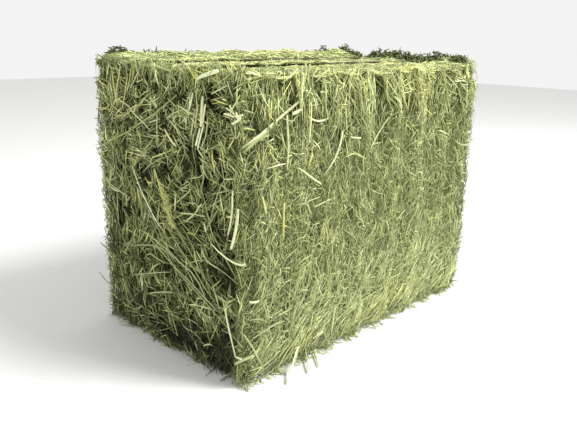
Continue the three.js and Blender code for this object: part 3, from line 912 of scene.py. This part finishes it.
def crest(face):
    """Stems that lean every way across the top edge of an end, and soften it."""
    u = dice.uniform(0, face.width, CREST_STEMS)
    v = face.height + some(CREST_RISE, CREST_STEMS)
    turn = UPRIGHT + dice.normal(0, 0.7, CREST_STEMS)
    return strewn(face, u, v, turn, CREST_LENGTH, CREST_WIDTH, CREST_DEPTH,
                  (SAGE + 0.12, 0.10), (0.58, 0.16), ground=face.broad, overhang=END_OVERHANG)


def end_stems(face, lean, ground, hollows, twine_shows):
    """All the stems of a cut end. Small pockets lie anywhere on it, besides its larger hollows, and both are
    painted darker as their shade.
    """
    pockets = zip(dice.uniform(0, face.width, POCKETS),
                  dice.uniform(POCKETS_FROM_FLOOR, face.height, POCKETS),
                  some(POCKET_WIDTH, POCKETS), some(POCKET_HEIGHT, POCKETS))
    hollows = [*hollows, *pockets]
    starts = dice.uniform(0, 2 * np.pi, 4)
    lanes = TWINE_LANES if twine_shows else ()
    # Pale chaff keeps off the lower part, so the end is paler higher up: partly painted light.
    lower_part = (face.width / 2, 0, 1, PALE_CHAFF_FROM)
    return [
        *(end_layer(face, layer, lean, ground, hollows, starts, twine_shows) for layer in END_LAYERS),
        long_stems(face, lean, hollows),
        chaff(face, DEEP_CHAFF, SAGE + 0.06, 0.0, hollows, (), lanes),
        chaff(face, PALE_CHAFF, PALE, PALE_CHAFF_LEVEL, [*hollows, lower_part], (), lanes),
        fringe(face, END_FRINGE, END_OVERHANG),
        crest(face),
    ]


near_stems = end_stems(near_end, 1, near_end.bridged, seen_spots(near_end, NEAR_HOLLOWS), False)
stem_piece(f"{FLAKES[0]}_end_stems", [(stems, slice(None)) for stems in near_stems])
far_stems = end_stems(far_end, -1, far_end.close, FAR_HOLLOWS, True)
stem_piece(f"{FLAKES[-1]}_end_stems", [(stems, slice(None)) for stems in far_stems])


# Single stems: broad pale straws and leaves that lie on top of the tangle, where the photograph has them.
# Each is given by its pixels in the picture, its width in millimetres, its ripeness and its tone.
# A ripe seed head hangs among them on the near end: short husks close together along a stalk.
SINGLE_RINGS = 7
SINGLE_SIDES = 6
SINGLE_FLATNESS = 0.35
SINGLE_POINT = 0.25
SINGLE_BOW = 0.001
SINGLE_UNEVEN = 0.001
END_LIFT, SIDE_LIFT = 0.0055, 0.002
END_STRAWS = [
    ([(196, 79), (218, 71)], 6.0, BLEACHED, 0.58), ([(151, 65), (170, 71)], 3.0, PALE, 0.6),
    ([(135, 50), (138, 74)], 3.5, PALE, 0.6), ([(150, 97), (157, 107)], 6.5, PALE, 0.5),
    ([(193, 93), (185, 122)], 3.6, BLEACHED, 0.5), ([(203, 96), (201, 127)], 4.6, BLEACHED, 0.46),
    ([(204, 124), (198, 149)], 5.0, BLEACHED, 0.56), ([(198, 104), (195, 128)], 3.0, PALE, 0.55),
    ([(188, 104), (186, 130)], 2.6, PALE, 0.5), ([(208, 118), (205, 140)], 2.6, PALE, 0.5),
    ([(97, 149), (142, 122), (177, 95)], 2.6, SAGE, 0.62),
    ([(119, 99), (140, 119), (150, 130)], 2.6, BLEACHED, 0.5),
    ([(167, 119), (186, 109)], 2.4, PALE, 0.62), ([(157, 111), (157, 146)], 3.4, PALE, 0.56),
    ([(165, 129), (176, 146)], 3.8, BLEACHED, 0.46),
    ([(132, 165), (145, 198), (162, 229)], 2.8, BLEACHED, 0.52),
    ([(155, 169), (163, 196), (175, 229)], 2.6, LEMON - 0.04, 0.5),
    ([(158, 178), (168, 212)], 2.2, LEMON, 0.45),
    ([(103, 178), (128, 196)], 3.0, PALE, 0.56), ([(233, 191), (228, 235)], 6.5, BLEACHED, 0.48),
    ([(238, 209), (231, 249)], 4.5, BLEACHED, 0.46), ([(181, 213), (205, 216)], 4.2, PALE, 0.6),
    ([(186, 221), (202, 204)], 3.2, PALE, 0.6), ([(172, 206), (193, 187)], 2.4, PALE, 0.56),
    ([(212, 244), (233, 262), (246, 264)], 3.0, BLEACHED, 0.6),
    ([(228, 306), (227, 318), (236, 357)], 3.4, BLEACHED, 0.5),
    ([(236, 357), (242, 359)], 3.2, BLEACHED, 0.5), ([(235, 364), (253, 356)], 4.2, PALE, 0.6),
    ([(131, 246), (158, 247), (176, 262)], 2.2, PALE, 0.42),
    ([(140, 229), (162, 247), (178, 275)], 2.6, SAGE, 0.62),
    ([(150, 238), (186, 278), (216, 309)], 2.8, PALE, 0.42),
    ([(157, 245), (195, 290), (228, 328)], 2.4, SAGE, 0.6),
    ([(146, 232), (180, 262), (205, 296)], 2.6, PALE, 0.4),
    ([(165, 220), (190, 262), (214, 300)], 2.4, SAGE, 0.58),
    ([(172, 216), (196, 262), (222, 302)], 2.0, SAGE, 0.56), ([(133, 275), (170, 272)], 2.2, PALE, 0.4),
    ([(150, 293), (172, 292)], 3.0, PALE, 0.45), ([(171, 310), (178, 336)], 3.0, SAGE, 0.6),
    ([(183, 325), (206, 345)], 2.4, PALE, 0.42), ([(204, 346), (212, 345)], 3.4, PALE, 0.5),
    ([(224, 114), (234, 117)], 3.4, BLEACHED, 0.62), ([(230, 105), (236, 117)], 3.6, BLEACHED, 0.62),
    ([(236, 117), (243, 115)], 3.2, BLEACHED, 0.6), ([(232, 124), (241, 118)], 3.4, BLEACHED, 0.6),
    ([(236, 112), (239, 121)], 3.0, BLEACHED, 0.6), ([(235, 118), (236, 138)], 2.8, PALE, 0.56),
    ([(231, 126), (236, 138), (240, 132)], 2.0, PALE, 0.56),
    ([(226, 108), (232, 112)], 2.6, BLEACHED, 0.55),
    ([(112, 70), (118, 104)], 3.0, LEMON - 0.03, 0.5), ([(121, 66), (116, 100)], 3.4, LEMON - 0.06, 0.5),
    ([(128, 74), (122, 108)], 3.0, LEMON - 0.08, 0.5), ([(108, 84), (113, 110)], 3.0, LEMON - 0.04, 0.42),
    ([(131, 68), (127, 92)], 2.6, LEMON - 0.05, 0.46), ([(190, 96), (189, 118)], 3.2, BLEACHED, 0.5),
    ([(206, 104), (203, 124)], 3.0, BLEACHED, 0.55), ([(200, 128), (196, 146)], 3.4, BLEACHED, 0.6),
    ([(195, 110), (191, 136)], 2.6, PALE, 0.6), ([(207, 130), (201, 150)], 2.8, PALE, 0.55)]
STRAY_GREEN = GREEN + 0.08
STRAY_WIDTH, STRAY_TONE = 2.2, 0.4
STRAYS_PAST_THE_EDGE = [
    ([(118, 66), (106, 61), (95, 59)], STRAY_GREEN), ([(112, 60), (103, 57), (97, 54)], SAGE),
    ([(114, 84), (103, 79), (94, 78)], SAGE), ([(112, 92), (104, 90), (97, 84)], STRAY_GREEN),
    ([(113, 108), (104, 99), (97, 91)], SAGE), ([(114, 98), (105, 101), (96, 97)], STRAY_GREEN),
    ([(112, 124), (103, 114), (96, 108)], STRAY_GREEN), ([(110, 118), (103, 119), (95, 118)], SAGE),
    ([(113, 138), (104, 131), (97, 124)], STRAY_GREEN), ([(112, 150), (103, 147), (97, 140)], STRAY_GREEN),
    ([(112, 252), (105, 246), (101, 242)], STRAY_GREEN),
    ([(112, 286), (105, 279), (100, 272)], STRAY_GREEN)]
SIDE_STRAWS = [
    ([(242, 148), (283, 115), (301, 99)], 4.6, BLEACHED, 0.24),
    ([(243, 153), (262, 136), (277, 122)], 6.0, SAGE, 0.41),
    ([(292, 114), (301, 109)], 6.0, BLEACHED, 0.38), ([(287, 115), (287, 170)], 5.0, PALE, 0.36),
    ([(298, 168), (321, 184)], 3.2, BLEACHED, 0.28),
    ([(342, 131), (338, 150), (323, 176)], 3.2, BLEACHED, 0.26),
    ([(394, 96), (402, 116)], 2.8, BLEACHED, 0.28), ([(370, 150), (389, 117)], 3.4, PALE, 0.36),
    ([(249, 342), (265, 331), (284, 321)], 3.0, PALE, 0.36),
    ([(240, 332), (248, 341), (262, 366)], 3.0, PALE, 0.36),
    ([(249, 302), (259, 301)], 4.0, BLEACHED, 0.28), ([(350, 137), (361, 138)], 3.0, BLEACHED, 0.28),
    ([(308, 116), (318, 121), (328, 118)], 3.4, BLEACHED, 0.28),
    ([(314, 207), (330, 199)], 3.0, PALE, 0.36),
    ([(296, 205), (320, 197)], 2.4, PALE, 0.36), ([(405, 238), (417, 206)], 3.4, LEMON - 0.06, 0.41),
    ([(284, 203), (283, 240)], 3.4, LEMON, 0.36), ([(262, 196), (266, 214)], 3.4, LEMON + 0.02, 0.36),
    ([(365, 274), (373, 258)], 3.4, PALE, 0.46), ([(331, 335), (335, 308)], 3.0, BLEACHED, 0.24),
    ([(446, 75), (457, 88), (460, 103)], 2.4, PALE, 0.42),
    ([(455, 140), (463, 145), (470, 143)], 2.2, PALE, 0.42),
    ([(243, 381), (262, 371), (284, 352)], 3.0, PALE, 0.30),
    ([(248, 384), (268, 374), (290, 356)], 2.6, SAGE, 0.46),
    ([(246, 372), (266, 364), (280, 350)], 2.6, PALE, 0.36),
    ([(299, 346), (294, 372)], 5.2, BLEACHED, 0.34),
    ([(309, 360), (317, 352)], 5.0, PALE, 0.46), ([(276, 372), (300, 330)], 2.6, PALE, 0.42),
    ([(305, 63), (304, 78), (296, 97)], 5.6, LEMON - 0.16, 0.24),
    ([(310, 64), (308, 82)], 5.0, LEMON - 0.10, 0.26),
    ([(302, 66), (301, 84)], 4.0, LEMON - 0.14, 0.24)]
SEED_HEAD_TOP, SEED_HEAD_FOOT = (160, 182), (173, 228)
SEED_HEAD_LIFT = 0.012
SEED_HEAD_RADIUS = 0.0048
HUSKS = 260
HUSK_LENGTH, HUSK_WIDTH = (0.005, 0.010), (0.0012, 0.0024)
HUSK_UNEVEN = 0.001


def single_path(face, pixels, millimetres, lift):
    """A smooth path over a face through two or three pixels of the picture."""
    step = np.linspace(0, 1, SINGLE_RINGS)
    path = np.array([on_face(face, pixel, lift) for pixel in pixels])
    if len(path) == 2:
        path = np.array([path[0], path.mean(0) + dice.normal(0, SINGLE_BOW, 2), path[1]])
    bend = 2 * path[1] - (path[0] + path[2]) / 2
    us, vs = ((1 - step) ** 2 * path[0, axis] + 2 * step * (1 - step) * bend[axis] + step ** 2 * path[2, axis]
              for axis in (0, 1))
    vs = np.maximum(vs, millimetres / 2000 + FLOOR_CLEARANCE)
    out = face.lift(us, vs, face.bridged) + lift + dice.uniform(0, SINGLE_UNEVEN)
    return face.place(us, vs, out)


def single_stems(name, face, singles, lift):
    paths = np.array([single_path(face, pixels, millimetres, lift) for pixels, millimetres, _, _ in singles])
    width, ripeness, tone = (np.array(values) for values in list(zip(*singles))[1:])
    stems = stem_frame(paths, face.outward, width / 1000, ripeness, tone, SINGLE_FLATNESS, SINGLE_POINT,
                       dice.normal(0, 0.25, len(singles)))
    stem_piece(name, [(stems, slice(None))], SINGLE_SIDES)


def seed_head(face, top_pixel, foot_pixel, lift):
    top_end, foot_end = (np.array(on_face(face, pixel, lift)) for pixel in (top_pixel, foot_pixel))
    part = dice.random(HUSKS)
    swell = np.sin(np.pi * (0.15 + 0.75 * part))[:, None]
    spread = dice.normal(0, SEED_HEAD_RADIUS, (HUSKS, 2)) * swell
    u, v = (top_end + (foot_end - top_end) * part[:, None] + spread).T
    stalk = math.atan2(*(foot_end - top_end)[::-1])
    turn = stalk + dice.normal(0, 0.4, HUSKS)
    return strewn(face, u, v, turn, HUSK_LENGTH, HUSK_WIDTH, (lift, HUSK_UNEVEN),
                  (LEMON + 0.02, 0.05), (0.82, 0.14), rings=2, ground=face.bridged, point=0.7)


seeds = seed_head(near_end, SEED_HEAD_TOP, SEED_HEAD_FOOT, SEED_HEAD_LIFT)
stem_piece("flake_1_seed_head", [(seeds, slice(None))])
strays = [(pixels, STRAY_WIDTH, colour, STRAY_TONE) for pixels, colour in STRAYS_PAST_THE_EDGE]
single_stems("flake_1_single_stems", near_end, END_STRAWS + strays, END_LIFT)
single_stems("front_single_stems", front_face, SIDE_STRAWS, SIDE_LIFT)


# Foot pieces: three broad pale straws that have slipped out of the foot of the long side.
# Each still sticks in the hay at its upper end, leans out, and ends on the ground in front of the bale.
FOOT_STRAWS = [
    ((299, 346), (292, 386), 5.6, BLEACHED, 0.45), ((307, 350), (314, 375), 6.0, PALE, 0.5),
    ((314, 350), (321, 368), 5.0, PALE, 0.5)]
FOOT_LIFT = 0.001
FOOT_REACH = 0.035


def on_floor(pixel, height):
    """The place this high over the floor that shows at a pixel, but no further out than the straws reach."""
    ray = sight(*pixel)
    spot = EYE + ray * ((height - EYE.z) / ray.z)
    return np.array((spot.x, max(spot.y, near - FOOT_REACH), height))


def foot_path(upper, lower, millimetres):
    u, v = on_face(front_face, upper, FOOT_LIFT)
    top_end = front_face.place(u, v, front_face.lift(u, v, front_face.close))
    foot_end = on_floor(lower, millimetres / 2000 + FLOOR_CLEARANCE)
    return top_end + (foot_end - top_end) * np.linspace(0, 1, SINGLE_RINGS)[:, None]


foot_paths = np.array([foot_path(*straw[:3]) for straw in FOOT_STRAWS])
foot_width, foot_ripeness, foot_tone = (np.array(values) for values in list(zip(*FOOT_STRAWS))[2:])
foot_stems = stem_frame(foot_paths, front_face.outward, foot_width / 1000, foot_ripeness, foot_tone,
                        SINGLE_FLATNESS, SINGLE_POINT, np.zeros(len(FOOT_STRAWS)))
stem_piece("front_foot_stems", [(foot_stems, slice(None))], SINGLE_SIDES)


# Tufts on the top: bent stubs of grass, crumpled together, stand up along its far edges; the higher a stem stands
# the darker it is painted, as the shade of a tuft against the light.
# A few long golden stems of riper grass lie lengthwise in front of them.
# A tuft is given by its column in the picture and its height in millimetres.
TUFTS = (
    (105, 14), (110, 16), (114, 28), (118, 28), (122, 24), (127, 21), (132, 20), (137, 14), (143, 17),
    (149, 12), (155, 12), (161, 13), (167, 15), (173, 14), (179, 12), (186, 15), (192, 13), (198, 9),
    (205, 12), (240, 10), (264, 7), (285, 7), (303, 15), (309, 18), (316, 16), (323, 21), (330, 9),
    (337, 12), (345, 20), (352, 12), (359, 15), (366, 13), (373, 14), (380, 20), (387, 14), (394, 14),
    (400, 18), (407, 17), (414, 12), (421, 14), (428, 26), (435, 25), (441, 17), (448, 10), (455, 9),
    (460, 16), (466, 12))
TUFT_STEMS = 60
TUFT_RADIUS = 0.012
TUFT_INSET = 0.012
TUFT_FROM_FRONT = 0.02
TUFT_SUNK = 0.001
TUFT_LENGTH, TUFT_WIDTH = (0.006, 0.014), (0.0018, 0.0042)
TUFT_SAG = 0.002
TUFT_RINGS = 3
TUFT_SHADE_HEIGHT = 0.006
HIGHEST_TUFT = 0.020
GOLDEN_STEMS = 22
GOLDEN_ALONG, GOLDEN_ACROSS = (0.27, 0.48), (0.300, 0.340)
GOLDEN_LENGTH, GOLDEN_WIDTH = (0.09, 0.20), (0.0018, 0.0030)
GOLDEN_DEPTH = (0.004, 0.001)


def tuft_places():
    """Where the tufts stand and how high: along the back edge, and from its corner on along the far end."""
    back_line, end_line = HAY_WIDTH - TUFT_INSET, HAY_LENGTH - TUFT_INSET
    for column, millimetres in TUFTS:
        u = along_top(column, back_line)
        if u < end_line:
            yield max(u, TUFT_INSET), back_line, millimetres / 1000
        else:
            beyond = (u - end_line) * (back_line + near - EYE.y) / (u + left - EYE.x)
            yield end_line, max(back_line - beyond, TUFT_FROM_FRONT), millimetres / 1000


def tuft_stems():
    middles = np.repeat(np.array(list(tuft_places())), TUFT_STEMS, axis=0)
    count = len(middles)
    away = dice.normal(0, TUFT_RADIUS * 0.6, (count, 2))
    u, v = (middles[:, :2] + away).T
    height = middles[:, 2] * dice.random(count) ** 0.6 * np.exp(-(away ** 2).sum(1) / TUFT_RADIUS ** 2)
    centre = top_face.place(u, v, top_face.lift(u, v, top_face.close) + height - TUFT_SUNK)
    # Painted shade: the higher a stem of a tuft stands, the greener and darker it is.
    painted_tuft_shade = np.clip(height / TUFT_SHADE_HEIGHT, 0, 1)
    ahead = unit(dice.normal(0, 1, (count, 3)) * (1, 1, 0.7)) * some(TUFT_LENGTH, count)[:, None]
    sag = dice.normal(0, TUFT_SAG, (count, 3))
    step = np.linspace(-0.5, 0.5, TUFT_RINGS)[None, :, None]
    points = centre[:, None] + ahead[:, None] * step + sag[:, None] * 4 * step ** 2
    points[..., 2] = np.minimum(points[..., 2], high.z + HIGHEST_TUFT)
    width = some(TUFT_WIDTH, count)
    ripeness = dice.normal(SAGE, 0.06, count) + (GREEN - 0.04 - SAGE) * painted_tuft_shade
    tone = dice.normal(0.5, 0.16, count) - 0.12 * painted_tuft_shade
    return stem_frame(points, np.array(ACROSS), width, ripeness, tone, 0.5, 0.5, dice.normal(0, 0.5, count))


golden_u, golden_v = some(GOLDEN_ALONG, GOLDEN_STEMS), some(GOLDEN_ACROSS, GOLDEN_STEMS)
golden_turn = dice.normal(0, 0.04, GOLDEN_STEMS)
golden = strewn(top_face, golden_u, golden_v, golden_turn, GOLDEN_LENGTH, GOLDEN_WIDTH, GOLDEN_DEPTH,
                (GOLD - 0.02, 0.02), (0.5, 0.08), rings=6, tilt=0.001, curl=0.008, ripest=GOLD)
stem_piece("top_tufts", [(tuft_stems(), slice(None)), (golden, slice(None))])


# Litter at the foot: short broken stems of the same grass, which have dropped out of the sides.
# They lie loose on the ground, half under the bale, more of them in front than elsewhere.
LITTER_COUNT = 260
LITTER_SHARES = {"front": 0.50, "back": 0.24, "near end": 0.06, "far end": 0.20}
LITTER_LENGTH, LITTER_WIDTH = (0.012, 0.034), (0.0012, 0.0030)
LITTER_LIFT = (0, 0.006)
LITTER_RINGS = 3


def litter():
    side = dice.choice(len(LITTER_SHARES), LITTER_COUNT, p=tuple(LITTER_SHARES.values()))
    front, back, near_side, far_side = (side == number for number in range(len(LITTER_SHARES)))
    along = dice.random(LITTER_COUNT)
    x = left + np.select([front | back, near_side, far_side], [HAY_LENGTH * along ** 1.3, 0.0, HAY_LENGTH])
    y = near + np.select([front, back, near_side | far_side], [0.0, HAY_WIDTH, HAY_WIDTH * along])
    way = np.select([front, back, near_side, far_side], [-np.pi / 2, np.pi / 2, np.pi, 0.0])
    way = way + dice.normal(0, 0.6, LITTER_COUNT)
    length, width = some(LITTER_LENGTH, LITTER_COUNT), some(LITTER_WIDTH, LITTER_COUNT)
    step = np.linspace(-0.5, 0.5, LITTER_RINGS)
    ahead = np.stack((np.cos(way), np.sin(way), np.zeros(LITTER_COUNT)), axis=1)
    centre = np.stack((x, y, width / 2 + FLOOR_CLEARANCE), axis=1)
    points = centre[:, None] + ahead[:, None] * (length[:, None] * step)[..., None]
    points[..., 2] += some(LITTER_LIFT, LITTER_COUNT)[:, None] * (0.5 - step) ** 2
    ripeness, tone = dice.normal(SAGE + 0.06, 0.12, LITTER_COUNT), dice.normal(0.5, 0.14, LITTER_COUNT)
    return stem_frame(points, np.array(UPWARD), width, ripeness, tone, 0.5, 0.4,
                      dice.normal(0, 0.2, LITTER_COUNT))


stem_piece("foot_litter", [(litter(), slice(None))])


# Twine: two closed loops of three-strand plant fibre, pulled tight round the length of the bale.
# They bite into the hay. Each is closed by one knot on the far end, with two short cut ends.
STRAND_COUNT = 3
STRAND_RADIUS = 0.00118
STRAND_OFFSET = 0.00107
STRAND_SIDES = 6
TWIST_LENGTH = 0.016
STEPS_IN_A_TWIST = 6
TWINE_BEND = 0.032
BEND_STEPS = 12
TWINE_RUN = 0.584
KNOT_HEIGHT = 0.330
KNOT_RADIUS = 0.0055
KNOT_STEPS = 48
TAIL_LENGTH = 0.038
TAIL_OUT, TAIL_ASIDE, TAIL_DOWN = 0.0145, 0.011, 0.024
TAIL_PARTS = (0.05, 0.5, 1)
TWINE_FIBRE, TWINE_PATCH = 900, 45
TWINE_BUMP = 0.0008
TWINE_COLOURS = [(0.30, (0.030, 0.028, 0.010)), (0.55, (0.075, 0.066, 0.026)), (0.75, (0.150, 0.128, 0.056))]


def sisal():
    twine = Finish("sisal_twine", Roughness=0.8)
    place = twine.node("ShaderNodeTexCoord", output="Object")
    fibre = twine.node("ShaderNodeTexNoise", inputs={"Vector": place, "Scale": TWINE_FIBRE, "Detail": 2.0})
    patch = twine.node("ShaderNodeTexNoise", inputs={"Vector": place, "Scale": TWINE_PATCH, "Detail": 2.0})
    shade = fibre * 0.55 + patch * 0.45
    bump = twine.node("ShaderNodeBump", inputs={"Height": fibre, "Strength": 0.7, "Distance": TWINE_BUMP})
    twine.feed("Base Color", twine.node("ShaderNodeValToRGB", {"stops": TWINE_COLOURS}, {"Fac": shade}))
    twine.feed("Normal", bump)
    return twine.material


def even_steps(path, step, closed):
    """The points of a path again, an even step apart."""
    path = np.asarray(path, float)
    if closed:
        path = np.vstack((path, path[:1]))
    run = np.concatenate(([0], np.cumsum(np.linalg.norm(np.diff(path, axis=0), axis=1))))
    count = max(3, round(run[-1] / step))
    places = np.linspace(0, run[-1], count, endpoint=not closed)
    return np.stack([np.interp(places, run, path[:, axis]) for axis in range(3)], axis=1), run[-1]


def strand_tubes(path, upright, closed):
    """The strands laid round a path, as rings of corners for each strand."""
    points, length = even_steps(path, TWIST_LENGTH / STEPS_IN_A_TWIST, closed)
    if closed:
        ahead = unit(np.roll(points, -1, 0) - np.roll(points, 1, 0))
    else:
        ahead = unit(np.gradient(points, axis=0))
    first = unit(np.cross(ahead, upright))
    second = np.cross(ahead, first)
    twists = round(length / TWIST_LENGTH) if closed else length / TWIST_LENGTH
    twist = 2 * np.pi * twists * np.arange(len(points)) / (len(points) if closed else len(points) - 1)
    angle = 2 * np.pi * np.arange(STRAND_SIDES) / STRAND_SIDES
    ring = np.cos(angle)[:, None] * first[:, None] + np.sin(angle)[:, None] * second[:, None]
    tubes = []
    for strand in range(STRAND_COUNT):
        turn = twist + 2 * np.pi * strand / STRAND_COUNT
        heart = points + STRAND_OFFSET * (np.cos(turn)[:, None] * first + np.sin(turn)[:, None] * second)
        tubes.append(heart[:, None] + STRAND_RADIUS * ring)
    return tubes


def tube_faces(start, rings, closed):
    number = start + np.arange(rings * STRAND_SIDES).reshape(rings, STRAND_SIDES)
    lower = number if closed else number[:-1]
    upper = np.roll(number, -1, 0) if closed else number[1:]
    walls = np.stack((lower, np.roll(lower, -1, 1), np.roll(upper, -1, 1), upper), axis=-1)
    walls = walls.reshape(-1, WALL_CORNERS).tolist()
    return walls if closed else walls + [number[0, ::-1].tolist(), number[-1].tolist()]


def loop_path(start_x, end_x, bottom, top, y):
    """A rectangle round the bale, with rounded corners."""
    corners = ((end_x, bottom, -90), (end_x, top, 0), (start_x, top, 90), (start_x, bottom, 180))
    path = []
    for x, z, start in corners:
        centre_x = x - math.copysign(TWINE_BEND, x)
        centre_z = z - TWINE_BEND if z > TWINE_BEND * 2 else z + TWINE_BEND
        for step in range(BEND_STEPS + 1):
            angle = math.radians(start + 90 * step / BEND_STEPS)
            path.append((centre_x + TWINE_BEND * math.cos(angle), y, centre_z + TWINE_BEND * math.sin(angle)))
    return path


def knot_path(centre):
    """A trefoil, the shape of an overhand knot drawn tight."""
    path = []
    for step in range(KNOT_STEPS):
        turn = 2 * math.pi * step / KNOT_STEPS
        out = KNOT_RADIUS * (1 + 0.5 * math.cos(3 * turn)) * 0.8
        rise = KNOT_RADIUS * 0.45 * math.sin(3 * turn)
        across, aside = out * math.cos(2 * turn), out * math.sin(2 * turn)
        path.append((centre.x + across, centre.y + aside, centre.z + rise))
    return path


def tied_twine(node_name, finish):
    lowest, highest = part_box(node_name)
    start_x, bottom, top = lowest.x + TWINE_RADIUS, lowest.z + TWINE_RADIUS, highest.z - TWINE_RADIUS
    y = (lowest.y + highest.y) / 2
    knot = Vector((start_x + TWINE_RUN, y, KNOT_HEIGHT))
    runs = [(loop_path(start_x, start_x + TWINE_RUN, bottom, top, y), ACROSS, True),
            (knot_path(knot), UPWARD, True)]
    for side in (-1, 1):
        end = Vector((TAIL_OUT, side * TAIL_ASIDE, -TAIL_DOWN)).normalized() * TAIL_LENGTH
        runs.append(([knot + end * part for part in TAIL_PARTS], ACROSS, False))
    points, faces = [], []
    for path, upright, closed in runs:
        for tube in strand_tubes(path, upright, closed):
            faces += tube_faces(sum(len(part) for part in points), len(tube), closed)
            points.append(tube.reshape(-1, 3))
    mesh = bpy.data.meshes.new(f"{node_name}_strands")
    mesh.from_pydata(np.concatenate(points).tolist(), [], faces)
    mesh.polygons.foreach_set("use_smooth", np.ones(len(mesh.polygons), bool))
    mesh.materials.append(finish)
    twine = bpy.data.objects.new(f"{node_name}_strands", mesh)
    bpy.context.collection.objects.link(twine)
    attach(twine, "root")
    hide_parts(node_name)


sisal_finish = sisal()
for twine_name in ("twine_front", "twine_back"):
    tied_twine(twine_name, sisal_finish)


# Studio: a pale matte floor under the bale and an even white room round it.
# One large soft light stands high on the side of the long face.
FLOOR_SIZE = 12
FLOOR_GRAIN = 40
FLOOR_COLOURS = [(0.0, (0.76, 0.76, 0.75)), (1.0, (0.80, 0.80, 0.79))]
LIGHT_FROM = Vector((0.9, -1.7, 2.3))
LIGHT_SIZE = 1.3
LIGHT_POWER = 130
ROOM_COLOUR = (1, 1, 1, 1)
ROOM_LIGHT = 0.9

floor_finish = Finish("pale_floor", Roughness=0.9)
floor_place = floor_finish.node("ShaderNodeTexCoord", output="Object")
floor_grain = floor_finish.node("ShaderNodeTexNoise", inputs={
    "Vector": floor_place, "Scale": FLOOR_GRAIN, "Detail": 3.0})
floor_colour = floor_finish.node("ShaderNodeValToRGB", {"stops": FLOOR_COLOURS}, {"Fac": floor_grain})
floor_finish.feed("Base Color", floor_colour)
bpy.ops.object.select_all(action="DESELECT")
bpy.ops.mesh.primitive_plane_add(size=FLOOR_SIZE)
floor = bpy.context.object
floor.name = "floor"
floor.data.materials.append(floor_finish.material)

bpy.ops.object.light_add(type="AREA", location=LIGHT_FROM)
key_light = bpy.context.object
key_light.data.shape = "DISK"
key_light.data.size = LIGHT_SIZE
key_light.data.energy = LIGHT_POWER
key_light.rotation_euler = (middle - LIGHT_FROM).to_track_quat("-Z", "Y").to_euler()

world = bpy.data.worlds.new("white_room")
world.use_nodes = True
room = world.node_tree.nodes["Background"]
room.inputs["Color"].default_value = ROOM_COLOUR
room.inputs["Strength"].default_value = ROOM_LIGHT
bpy.context.scene.world = world
bpy.context.scene.view_settings.view_transform = "Standard"

bpy.context.view_layer.update()
